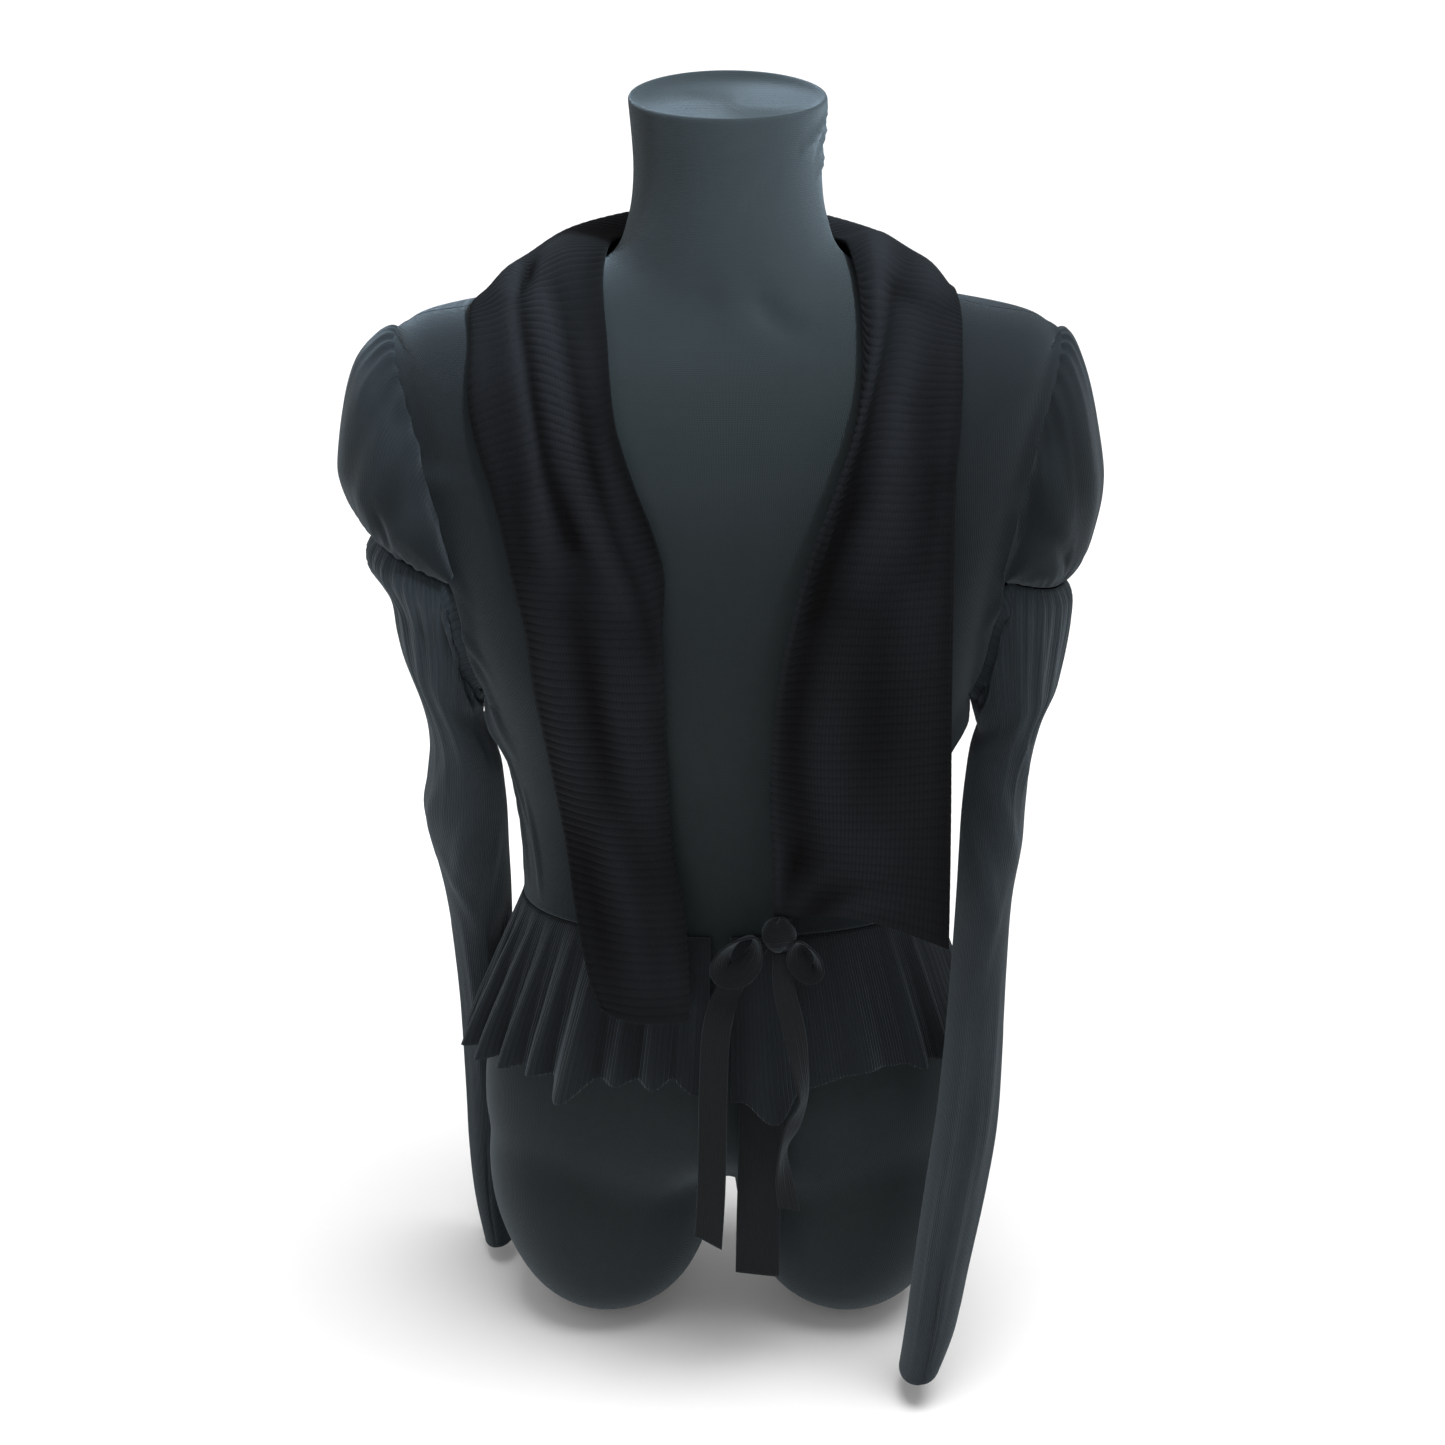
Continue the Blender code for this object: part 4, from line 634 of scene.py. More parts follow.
def tier_seam(side, outer, angles):
    """The seam between head and lower sleeve, which meets the armhole in front and behind."""
    angles = signed(angles)
    share = np.clip(angles / HEAD_END, -1, 1) * math.pi / 2
    ends = armhole_ring(side, np.where(angles < 0, -HEAD_END, HEAD_END), ARMHOLE_LIFT)
    x = side * ends[:, 0] + 0.004 + (outer[0] - side * ends[:, 0] - 0.004) * np.cos(share)
    y = ends[:, 1] * np.abs(np.sin(share)) * (1 + 0.14 * np.abs(np.sin(2 * share)))
    z = outer[1] + (ends[:, 2] - 0.003 - outer[1]) * (1 - np.cos(share))
    return np.stack([side * x, y, z], axis=1)


def bulged(first, last, profile, side, angles, rows):
    """Rings between two seams, standing over the straight way between them as the profile does."""
    angles = signed(angles)
    across = (last - first)[np.argmin(np.abs(angles))]
    up = np.array([-side * across[2], 0.0, side * across[0]]) / np.linalg.norm(across)
    towards = np.outer(np.cos(angles), up) + np.outer(np.sin(angles), (0.0, -1.0, 0.0))
    amount = 0.04 + 0.96 * np.clip(np.cos(angles / 2), 0, 1) ** 1.6
    shape = smooth_rows(columns(profile) * [1.0, MM], np.linspace(0, len(profile) - 1, rows))
    return np.array([first + (last - first) * along + towards * (height * amount)[:, None]
                     for along, height in shape])


def gather_heights(degrees, share, table, reach=1.0):
    """Heights of gathers that start at a seam and run out along the cloth."""
    total = np.zeros(np.broadcast(degrees, share).shape)
    for angle, length, drift, half_width, height in table:
        part = share / (length * reach)
        centre = angle + drift * part
        rise = np.clip(share / 0.02, 0, 1) * np.clip(1.2 - part, 0, 1) ** 1.2
        total += height * MM * rise * np.exp(-((degrees - centre) / half_width) ** 2)
    return total


for side, name, profile, tier, folds, fullness in (
        (-1, "left", HEAD_PROFILE_LEFT, TIER_LEFT, HEAD_FOLDS_LEFT, 1.0),
        (1, "right", HEAD_PROFILE_RIGHT, TIER_RIGHT, HEAD_FOLDS_RIGHT, 0.6)):
    angles = np.linspace(-HEAD_END + 0.03, HEAD_END - 0.03, HEAD_POINTS)
    seam = armhole_ring(side, angles, ARMHOLE_LIFT)
    grid = bulged(seam, tier_seam(side, tier, angles), profile, side, angles, HEAD_ROWS)
    share = np.linspace(0, 1, HEAD_ROWS)[:, None]
    degrees = np.degrees(angles)[None, :]
    relief = fullness * gather_heights(degrees, share, HEAD_GATHERS)
    relief += 0.7 * fullness * gather_heights(degrees + 4, 1 - share, HEAD_GATHERS, 0.55)
    relief += fold_heights(degrees, share, folds, HEAD_DEGREE, HEAD_LENGTH)
    relief *= np.clip(share / 0.03, 0, 1) * np.clip((1 - share) / 0.03, 0, 1)
    edge = np.clip((HEAD_END - np.abs(angles)) / 0.12, 0, 1)[None, :]
    grid = grid + grid_normals(grid, False) * (relief * edge * GATHER_DEPTH)[..., None]
    piece, _ = knit_wall(f"sleeve_head_{name}_puff", grid, JERSEY, black_jersey, False,
                         degrees * HEAD_DEGREE, share * HEAD_LENGTH)
    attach(piece, "root")
    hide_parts(f"sleeve_head_{name}")

# The peplum
# A flared basque of fine black rib, knitted in three parts and sewn to the waist seam. It is fluted, closely
# at the left front and nearly flat at the right, and its open front edges hang apart.
RIB_KNIT = 0.0015
PEPLUM_STEP = 0.45               # degrees between the points of a row
PEPLUM_ROWS = 44
PEPLUM_RADIUS = 0.155
FLUTES_LEFT = {  # angle, half_width, depth, drop
    "front_edge": (96.5, 4.5, 4, 2),
    "vee_inner": (104, 4, 9, 4),
    "vee_outer": (112, 4.2, 8, 2),
    "big": (123, 6, 20, 10),
    "beside_big": (133.5, 4.5, 12, 0),
    "third": (143.5, 4.6, 13, 1),
    "second": (153.5, 4.8, 14, 3),
    "first": (163.5, 4.8, 14, 2),
    "side": (174.5, 5, 9, 0),
}
FLUTES_BACK = {
    "back_1": (190, 5, 8, 0),
    "back_2": (204, 5.5, 8, 2),
    "back_3": (219, 5.5, 11, 1),
    "back_4": (234, 6, 12, 3),
    "back_5": (250, 6, 10, 1),
    "back_6": (266, 6, 13, 3),
    "back_7": (282, 6.5, 10, 1),
    "back_8": (299, 6, 12, 2),
    "back_9": (316, 6, 9, 0),
    "back_10": (332, 5.5, 8, 1),
    "back_11": (347, 5, 5, 0),
}
FLUTES_RIGHT = {
    "right_side": (10, 5, 4, 0),
    "right_fold": (34, 4, 7, 1),
    "panel_edge": (44, 4, 8, 2),
    "soft": (60, 6, 5, 1),
    "corner": (82, 6, 10, 12),
}
# The hem: angle round the body, height, how far it stands out
PEPLUM_HEM = np.array([
    (0, 196, 3), (20, 193, 3), (60, 203, 8), (85, 190, 16), (92, 192, 18), (100, 205, 16), (125, 198, 14),
    (150, 196, 8), (180, 194, 3), (225, 192, 3), (270, 192, 5), (315, 194, 3), (360, 196, 3),
])
# Fine black cotton-viscose rib: upright ribs 2.4 mm apart and 0.3 mm deep, of matt 1.2 mm stitches; its
# flutes are painted darker in their troughs as painted shade and paler on their crests as painted highlight,
# more softly than the jersey
fine_rib = knit_finish("black_fine_rib_knit", "#1b1f22", "#0e1012", 0.0012, 0.0011, 0.00012, 0.92, 0.20,
                       rib=0.0024, rib_depth=0.0003, reach=0.0085, least=0.42)


def flute_sum(table, degrees):
    """How far the flutes stand out, and how much lower the hem hangs, at angles round the body."""
    out = np.zeros_like(degrees)
    drop = np.zeros_like(degrees)
    for angle, half_width, depth, lower in table.values():
        away = np.clip(np.abs(degrees - angle) / half_width, 0, 1)
        ridge = 0.5 + 0.5 * np.cos(math.pi * away)
        out += depth * MM * ridge
        drop += lower * MM * ridge
    return out, drop


peplum_trees = []
seam_angle = math.degrees(SEAM_GAP / BODY_ROWS[5, 0])
for name, table, first, last, ripple, flat in (
        ("left", FLUTES_LEFT, 93.5, 180 - seam_angle, 0.0006, (0.260, 0.095)),
        ("back", FLUTES_BACK, 180 + seam_angle, 360 - seam_angle, 0.0006, (0.490, 0.092)),
        ("right", FLUTES_RIGHT, seam_angle, 89.5, 0.0002, (0.225, 0.092))):
    degrees = np.linspace(first, last, int((last - first) / PEPLUM_STEP))
    out, drop = flute_sum(table, degrees)
    top_z = BODY_ROWS[5, 1] - SEAM_GAP - 0.0005
    hem_z = np.interp(degrees % 360, PEPLUM_HEM[:, 0], PEPLUM_HEM[:, 1] * MM) - drop
    flare = np.interp(degrees % 360, PEPLUM_HEM[:, 0], PEPLUM_HEM[:, 2] * MM)
    grid = []
    for part in np.linspace(0, 1, PEPLUM_ROWS):
        z = top_z + (hem_z - top_z) * part
        row = np.interp(z, BODY_ROWS[:6, 1], np.arange(6))
        spread = room(row) + RIB_KNIT / 2 + flare * part ** 0.5 + out * part ** 0.8
        spread = spread + ripple * math.sin(math.pi * part) * np.sin(degrees * 1.9 + 3 * part)
        points = over_body(row, np.radians(degrees), spread)
        points[:, 2] = z
        grid.append(points)
    grid = np.array(grid)
    piece, outside = knit_wall(f"peplum_{name}_basque", grid, RIB_KNIT, fine_rib, False,
                               np.radians(degrees)[None, :] * PEPLUM_RADIUS, grid[..., 2])
    peplum_trees.append(search_tree(outside, False))
    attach(piece, "root")
    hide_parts(f"peplum_{name}")

# The lower sleeves
# Slim tubes of fine black rib, gathered at the seam under the puffed heads and open at the cuff. The left
# one hangs beside and behind the hip, the right one crosses in front of it.
SLEEVE_COARSE = 48               # points of a ring while it is kept clear of the body
SLEEVE_POINTS = 160
SLEEVE_ROWS = 148
SLEEVE_CLEARANCE = 0.00375
SLEEVE_DEGREE = 0.0006           # length of cloth for one degree round the sleeve
SLEEVE_LENGTH = 0.5
SLEEVE_GIRTH = 0.235
SKIN_POINTS = 120
SLEEVE_PROFILE_LEFT = {  # along, height
    "tier": (0, 0),
    "flare": (0.08, 6),
    "point": (0.19, 9),
    "pleats": (0.37, 3),
    "upper": (0.53, -0.8),
    "biceps": (0.76, 0.4),
}
SLEEVE_PROFILE_RIGHT = {
    "tier": (0, 0),
    "flare": (0.12, 4.1),
    "point": (0.28, 4.9),
    "pleats": (0.45, 4.4),
    "upper": (0.62, 3.5),
    "biceps": (0.8, 2.2),
}
SLEEVE_LEFT = {  # outer_x, outer_z, inner_x, inner_z, bow_z, front, back, centre_y
    "narrow": (196.8, 439, 153, 395, 6, 45, 43, 1),
    "bend": (187.3, 408, 147, 380, 2, 39.5, 38, 3),
    "dip": (184.6, 383, 142.5, 364, 0, 37, 35.5, 8),
    "elbow": (188, 356, 141, 345, 0, 36, 35, 14),
    "swell": (191.8, 333, 140.5, 326, 0, 35, 35, 22),
    "forearm": (187.5, 300, 141.2, 298, 0, 33.5, 34, 36),
    "lower": (183, 262, 141.8, 262, 0, 31, 32, 54),
    "behind": (180.4, 220, 143.2, 220, 0, 29, 29, 72),
    "hang": (178, 175, 145, 175, 0, 27, 27, 82),
    "wrist": (176.5, 125, 146.6, 126, 0, 25.5, 25.5, 82),
    "cuff_in": (175, 76, 147.8, 78, 0, 24.5, 24.5, 76),
    "cuff": (171, 40, 147.5, 43, 0, 24, 24, 67),
    "mouth": (164, 11, 144, 14, 0, 23.5, 23.5, 57),
}
SLEEVE_RIGHT = {
    "narrow": (199.5, 419, 156, 390, 6, 45, 43, -6),
    "bend": (191, 400, 151, 378, 2, 40, 38, -12),
    "dip": (184.5, 374, 147.5, 360, 0, 36.5, 35, -21),
    "elbow": (181.9, 350, 145, 342, 0, 34.5, 34, -30),
    "swell": (180, 328, 143.5, 324, 0, 33, 33, -38),
    "forearm": (173.5, 298, 141.2, 296, 0, 30, 31, -52),
    "lower": (169.2, 260, 137.2, 260, 0, 27, 28, -74),
    "front": (166, 218, 132.5, 218, 0, 25, 25, -94),
    "hang": (162.5, 175, 127.5, 175, 0, 24, 24, -107),
    "wrist": (156, 135, 121.5, 135, 0, 23.5, 23.5, -115),
    "cuff_in": (147.2, 90, 115.5, 90, 0, 23, 23, -122),
    "cuff": (139.5, 48, 110.5, 46, 0, 23, 23, -127),
    "mouth": (130, 22, 106.5, 16, 0, 24, 24, -130),
}
# Gathers under the second seam: angle, length as a share of the sleeve, drift in angle, half width, height
SLEEVE_GATHERS = (
    (-170, 0.1, 4, 5, 1), (-150, 0.14, -5, 4.5, 1.4), (-130, 0.12, 4, 4.5, 1.6), (-112, 0.2, 8, 4, 2.2),
    (-97, 0.15, -4, 3.6, 2), (-84, 0.24, 6, 4, 2.6), (-70, 0.16, 4, 3.6, 2), (-57, 0.26, -6, 4, 2.6),
    (-43, 0.18, 4, 3.6, 2), (-30, 0.22, -4, 4, 2.2), (-16, 0.16, 4, 3.8, 1.8), (-2, 0.24, 6, 4.2, 2.2),
    (12, 0.17, 4, 3.8, 2), (25, 0.28, -8, 4, 2.6), (38, 0.18, 5, 3.6, 2.2), (50, 0.27, -7, 3.9, 3),
    (62, 0.2, 6, 3.4, 2.6), (73, 0.3, -8, 3.8, 3.2), (85, 0.2, 4, 3.4, 2.6), (97, 0.24, -5, 3.8, 2.6),
    (112, 0.15, 5, 4, 1.8), (132, 0.12, -4, 4.5, 1.4), (152, 0.1, 4, 4.5, 1.2), (170, 0.08, 3, 5, 1),
)
# Long soft folds: angle and share of the sleeve at both ends, half width, height
SLEEVE_FOLDS_LEFT = (
    (70, 0.22, 20, 0.4, 6, 2), (110, 0.28, 60, 0.44, 5.5, 1.8), (40, 0.38, 95, 0.52, 6, 1.4),
    (-40, 0.24, -80, 0.42, 6.5, 2), (150, 0.34, 100, 0.5, 5, 1.4), (60, 0.5, 80, 0.78, 5, 1.4),
    (110, 0.56, 100, 0.9, 4.5, 1.2), (20, 0.54, 35, 0.88, 5, 1.2), (-60, 0.5, -70, 0.84, 5.5, 1.4),
    (-120, 0.4, -130, 0.8, 5.5, 1.2), (90, 0.86, 84, 0.99, 4, -1.2),
)
SLEEVE_FOLDS_RIGHT = (
    (110, 0.2, 40, 0.34, 6.5, 2.6), (80, 0.16, 30, 0.25, 5.5, 2.4), (130, 0.27, 70, 0.4, 5.5, 1.8),
    (60, 0.36, 100, 0.5, 6, 1.4), (-40, 0.24, -80, 0.42, 6.5, 2), (50, 0.48, 60, 0.74, 5, 1.4),
    (105, 0.52, 112, 0.82, 5, 1.4), (75, 0.64, 84, 0.96, 4.5, 1.4), (20, 0.56, 25, 0.9, 5, 1.2),
    (-70, 0.5, -70, 0.84, 5.5, 1.4), (96, 0.84, 92, 0.99, 4, -1.4), (130, 0.7, 128, 0.97, 4, 1),
)
# The same black fine rib, its colour painted a little paler and bluer on the sleeves as painted light from
# the haze they catch, and painted darker in its folds as painted shade: ribs 2.4 mm apart
sleeve_rib = knit_finish("black_fine_rib_knit_painted_paler", "#252b2f", "#14181b", 0.0012, 0.0011, 0.00012, 0.92,
                         0.28, rib=0.0024, rib_depth=0.0003)


def sleeve_ring(values, side, angles):
    """One ring of a sleeve from its row of the table."""
    outer_x, outer_z, inner_x, inner_z, bow_z, front, back, centre_y = values
    outer_share = (1 + np.cos(angles)) / 2
    x = inner_x + (outer_x - inner_x) * outer_share
    z = inner_z + (outer_z - inner_z) * outer_share + bow_z * np.sin(angles) ** 2
    y = centre_y - np.where(np.sin(angles) > 0, front, back) * np.sin(angles)
    return np.stack([side * x, y, z], axis=1)


def outside_of(points, trees, distance):
    """Points moved out, level and away from the body's axis, to a distance from every surface."""
    cleared = points.reshape(-1, 3).copy()
    reach = 0.4
    for place in cleared:
        radius = math.hypot(place[0], place[1])
        angle = math.atan2(place[1], place[0])
        blocked = 0.0
        for turn in (-0.05, -0.025, 0.0, 0.025, 0.05):
            away = Vector((math.cos(angle + turn), math.sin(angle + turn), 0.0))
            for rise in (-0.020, -0.010, 0.0, 0.010, 0.020):
                start = away * reach + Vector((0.0, 0.0, place[2] + rise))
                for tree in trees:
                    _, _, _, gap = tree.ray_cast(start, -away, reach)
                    if gap is not None:
                        blocked = max(blocked, reach - gap)
        if radius < blocked + distance:
            place[0] = math.cos(angle) * (blocked + distance)
            place[1] = math.sin(angle) * (blocked + distance)
    return cleared.reshape(points.shape)


def cloth_rings(count, top_row, rows):
    """Rings of the outer side of cloth that lies on the form, up to a row of the body table."""
    angles = whole_turn(count)
    return np.array([over_body(np.full(count, row), angles, np.full(count, room(row)[0] + JERSEY))
                     for row in np.linspace(0, top_row, rows)])


hip_tree = search_tree(cloth_rings(SKIN_POINTS, 7.2, 50), True)
for side, name, profile, tier, table, folds, flat, cut_area in (
        (-1, "left", SLEEVE_PROFILE_LEFT, TIER_LEFT, SLEEVE_LEFT, SLEEVE_FOLDS_LEFT,
         (0.180, 0.520), 0.082),
        (1, "right", SLEEVE_PROFILE_RIGHT, TIER_RIGHT, SLEEVE_RIGHT, SLEEVE_FOLDS_RIGHT,
         (0.165, 0.520), 0.075)):
    angles = whole_turn(SLEEVE_COARSE)
    under = tier_seam(side, tier, angles) - np.array([0.0, 0.0, SEAM_GAP + JERSEY])
    low = armhole_ring(side, angles, ARMHOLE_LIFT)
    top = np.where(np.abs(signed(angles))[:, None] < HEAD_END + 0.01, under, low)
    tube = [sleeve_ring(values, side, angles) for values in columns(table) * MM]
    rings = np.concatenate([bulged(top, tube[0], profile, side, angles, len(profile)), tube])
    thigh_tree = search_tree(thigh_rings(side, columns(THIGH) * MM, whole_turn(SKIN_POINTS)), True)
    rings[1:] = outside_of(rings[1:], [hip_tree, thigh_tree] + panel_trees + peplum_trees, SLEEVE_CLEARANCE)
    wrapped = np.concatenate([rings[:, -2:], rings, rings[:, :3]], axis=1)
    places = 2 + np.arange(SLEEVE_POINTS) * SLEEVE_COARSE / SLEEVE_POINTS
    smooth = smooth_rows(wrapped.transpose(1, 0, 2), places).transpose(1, 0, 2)
    length = lengths_along(smooth.mean(axis=1))
    places = np.interp(np.linspace(0, length[-1], SLEEVE_ROWS), length, np.arange(len(length)))
    grid = smooth_rows(smooth, places)
    share = np.linspace(0, 1, SLEEVE_ROWS)[:, None]
    degrees = np.degrees(signed(whole_turn(SLEEVE_POINTS)))[None, :]
    relief = gather_heights(degrees, share, SLEEVE_GATHERS) * GATHER_DEPTH
    relief += fold_heights(degrees, share, folds, SLEEVE_DEGREE, SLEEVE_LENGTH)
    grid = grid + grid_normals(grid, True) * (relief * np.clip(share / 0.01, 0, 1))[..., None]
    piece, _ = knit_wall(f"sleeve_{name}_tube", grid, RIB_KNIT, sleeve_rib, True,
                         np.linspace(0, SLEEVE_GIRTH, SLEEVE_POINTS)[None, :], share * SLEEVE_LENGTH)
    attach(piece, "root")
    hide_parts(f"sleeve_{name}")

# The shawl collar
# One long band of wide black rib, its ribs lying across it, sewn to the neck and the fronts and turned back
# over them as lapels. It rolls at the neck, lies over both shoulders and ends at the waist in two free hems.
BAND = 0.0020
RIB_PITCH = 0.0052
RIB_HEIGHT = 0.0010
BAND_POINTS = 25
BAND_STEP = 0.024                # width of cloth from one place across the band to the next
# From the left hem to the right one: x, y, z of the seam, the roll, the inner fold, the outer fold, the edge
COLLAR = {
    "left_hem": (-36, -126, 250, -23.5, -132, 248.5, -41, -135, 247.8, -58, -133, 248, -73, -126, 251),
    "left_low": (-36, -119, 270, -23, -126, 269.5, -44, -131, 269, -64, -127, 269, -81.5, -117, 268),
    "left_waist": (-37, -103, 305, -25.5, -112, 303, -48, -118, 303.5, -70, -113, 305, -90, -102, 307),
    "left_ribs": (-44, -96, 345, -33, -106, 345, -55, -112, 345.5, -76, -106, 346.5, -95.8, -92, 348),
    "left_under": (-47, -107, 395, -35.5, -117, 395, -59, -119, 395.5, -82, -113, 396, -103.5, -97, 396),
    "left_bust": (-46, -116, 444.5, -38, -127, 444.5, -64, -126, 444.5, -89, -118, 444, -111.9, -101, 443),
    "left_chest": (-39.5, -117, 485, -41, -129, 481.5, -68, -124, 480, -94, -116, 479, -116.5, -98, 478.5),
    "left_top": (-36.8, -114, 513, -48.4, -127, 510, -74, -119, 508.5, -100, -111, 506.5, -122.5, -94, 505),
    "left_yoke": (-42.5, -106, 537, -59.7, -120, 537, -85, -107, 536.5, -107, -104, 533.5, -127.5, -89, 531),
    "left_collar": (-54, -96, 566, -69.5, -110, 565, -96, -92, 566, -111, -96, 563, -132.5, -81, 557),
    "left_throat": (-64, -83, 596, -77, -97, 594, -104.5, -75, 598, -116, -81, 596, -138, -65, 585),
    "left_front": (-68, -60, 636, -86.5, -70, 640, -111.5, -45, 634, -124.5, -52, 634, -144.5, -41, 617),
    "left_shoulder": (-70, -12, 682, -97, -12, 681.5, -116.5, -6, 666, -130, -8, 670, -149, -10, 650),
    "left_nape": (-60, 34, 688, -88, 48, 690, -105, 58, 684, -119, 60, 669, -132, 64, 646),
    "left_back": (-33, 55, 696, -48, 68, 699.5, -57, 82, 691, -64, 90, 670, -70, 94, 638),
    "nape": (0, 60, 697, 0, 74, 701, 0, 88, 693, 0, 96, 670, 0, 100, 636),
    "right_back": (33, 55, 695, 46, 66, 698.5, 55, 80, 690, 62, 88, 669, 68, 93, 638),
    "right_nape": (60, 32, 686, 83, 42, 690, 99, 54, 683, 113, 58, 668, 127, 62, 645),
    "right_shoulder": (70, -12, 680, 86, -14, 690.5, 103, -12, 678, 120, -12, 674, 134.5, -14, 656),
    "right_front": (76, -52, 644, 85, -68, 644, 95, -50, 642, 115, -52, 640, 133.5, -47, 630),
    "right_throat": (76, -82, 596, 73.5, -98, 596, 84, -84, 599, 106, -88, 600, 131.5, -75, 598),
    "right_collar": (69, -97, 560, 60.5, -114, 560, 74.5, -100, 562, 101, -102, 562, 130, -90, 562),
    "right_chest": (58, -110, 527, 47.5, -126, 527.5, 62, -112, 528, 95, -114, 527, 129, -100, 527),
    "right_top": (50, -117, 498, 38.5, -133, 498, 55, -120, 499, 90, -121, 498, 128.8, -108, 498),
    "right_bust": (43, -119, 462, 31.2, -135, 463, 48, -124, 462, 87, -126, 461, 128.7, -113, 461),
    "right_under": (38, -113, 420, 26.8, -131, 422, 44, -124, 419, 85, -127, 418, 129.2, -115, 419),
    "right_ribs": (37, -104, 378, 25.7, -124, 382, 46, -121, 376, 85, -127, 374, 129.9, -117, 375),
    "right_waist": (38, -99, 342, 27.2, -119, 347, 48, -119, 342, 84, -127, 340, 130.2, -120, 332),
    "right_hem": (37, -101, 311, 29, -121.3, 308.5, 48.5, -122, 311.5, 81, -128, 311, 129.9, -127, 292),
}
# Folds: place across the band (0 seam to 4 edge) and station at both ends, half width, height
COLLAR_FOLDS = (
    (2.16, 7.8, 2.1, 12.2, 6.6, -6.4), (1.62, 6.6, 1.62, 12.4, 5.5, 5.8), (1.18, 5.6, 1.2, 12, 4, -5),
    (2.85, 7, 2.75, 12.2, 7, 4), (3.45, 7.5, 3.4, 11, 6, -2.6), (1.6, 3, 1.9, 6.8, 8, 3),
    (2.5, 3.6, 2.6, 7.2, 8, -3.4), (3.3, 3.6, 3.3, 7, 7, 2.6), (2.2, 1, 2.6, 3.6, 8, 2.6),
    (3.2, 0.6, 3.4, 3.2, 7, -2.2), (1.5, 0.4, 1.7, 2.6, 6, 1.6), (2.2, 23.4, 2.4, 27, 7.5, 3.6),
    (3, 22.2, 3, 26, 8, -3.8), (3.5, 20.4, 3.4, 24, 7, 2.6), (3.3, 18.8, 3.35, 22.4, 6.5, -2.6),
    (2.5, 18.8, 2.6, 22.6, 7, 3.4), (1.66, 18.4, 1.72, 23.2, 5, -5.6), (3.5, 20.6, 3.42, 22.8, 4, -3.4),
    (0.9, 28, 1.3, 26.7, 3.4, 3), (1.3, 28, 1.9, 26.5, 3, -2.2), (1.6, 28, 2.4, 26.9, 3.4, 2.6),
    (2.1, 28, 2.9, 27.2, 3.4, -1.8), (2.5, 28, 3.3, 27.4, 4, 1.6), (0.5, 27.8, 0.6, 26.2, 3, -1.6),
)
BAND_CLEARANCE = (0.0023, 0.0050, 0.0032, 0.0030, 0.0026)
# Wide black cotton-viscose rib: soft cords 5.2 mm apart, raised in the mesh, of matt 1.3 mm stitches; its
# folds are painted darker as painted shade and paler on their ridges as painted highlight
wide_rib = knit_finish("black_wide_rib_knit", "#15171a", "#0a0b0d", 0.0013, 0.0012, 0.00015, 0.95, 0.02,
                       reach=0.0028, least=0.10)


def keep_clear(points, tree, distance):
    """Points moved out where they come nearer to a surface round the body than a distance."""
    cleared = []
    for point, wanted in zip(points.reshape(-1, 3), np.broadcast_to(distance, points.shape[:-1]).ravel()):
        place = Vector(point)
        near, normal, _, gap = tree.find_nearest(place)
        if normal.dot(near - Vector((0.0, 0.0, near.z))) < 0:
            normal = -normal
        if (place - near).dot(normal) < 0:
            gap = -gap
        if gap < wanted:
            place = place + normal * (wanted - gap)
        cleared.append(place[:])
    return np.array(cleared).reshape(points.shape)


collar_rows = columns(COLLAR).reshape(len(COLLAR), 5, 3) * MM


def band_sections(stations, across):
    """Middle points of the collar band, at places along it and across it."""
    sections = smooth_rows(collar_rows, stations)
    return smooth_rows(sections.transpose(1, 0, 2), across).transpose(1, 0, 2)


finely = np.linspace(0, len(COLLAR) - 1, 1200)
middle_line = band_sections(finely, np.array([2.0]))[:, 0]
band_length = lengths_along(middle_line)
rib_count = int(round(band_length[-1] / RIB_PITCH))
band_places = np.linspace(0, band_length[-1], rib_count * 8 + 1)
stations = np.interp(band_places, band_length, finely)
across = np.linspace(0, 4, BAND_POINTS)
folds = [(a, np.interp(b, finely, band_length), c, np.interp(d, finely, band_length), width, height)
         for a, b, c, d, width, height in COLLAR_FOLDS]
soft_folds = fold_heights(across[None, :], band_places[:, None], folds, BAND_STEP, 1.0)
body_tree = search_tree(cloth_rings(240, NECK_ROW + 2.5, 160), True)
clearance = np.interp(across, range(5), BAND_CLEARANCE)[None, :]
grid = keep_clear(band_sections(stations, across), body_tree, clearance)
grid = keep_clear(grid + grid_normals(grid, False) * soft_folds[..., None], body_tree, clearance)
for _ in range(2):
    padded = np.pad(grid, ((6, 6), (0, 0), (0, 0)), mode="reflect", reflect_type="odd")
    grid = np.mean([padded[k:k + len(grid)] for k in range(13)], axis=0)
    padded = np.pad(grid, ((0, 0), (1, 1), (0, 0)), mode="reflect", reflect_type="odd")
    grid = (padded[:, :-2] + 2 * padded[:, 1:-1] + padded[:, 2:]) / 4
cord = np.abs(np.sin(math.pi * band_places / RIB_PITCH))[:, None] ** 0.7
rib_edge = np.clip(np.minimum(across, 4 - across) / 0.08, 0.3, 1)[None, :]
# Painted shade along the rolled inner edge of the lapels, deeper on the left one, and along the outer edge;
# the folds' wanted heights add painted shade in their troughs and painted highlight on their ridges, also
# where keeping clear of the body flattened them
on_left = np.clip(13.5 - stations, 0, 1)[:, None]
roll_edge_shade = np.clip((1.45 - across) / 0.6, 0, 1)[None, :] * (0.0015 + 0.0011 * on_left)
outer_edge_shade = np.clip((across - 3.75) / 0.2, 0, 1)[None, :] * 0.0020
piece, _ = knit_wall("collar_band", grid, BAND, wide_rib, False, across[None, :] * BAND_STEP,
                     band_places[:, None], relief=RIB_HEIGHT * cord * rib_edge,
                     shade=0.30 * soft_folds - roll_edge_shade - outer_edge_shade)
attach(piece, "root")
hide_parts("collar")

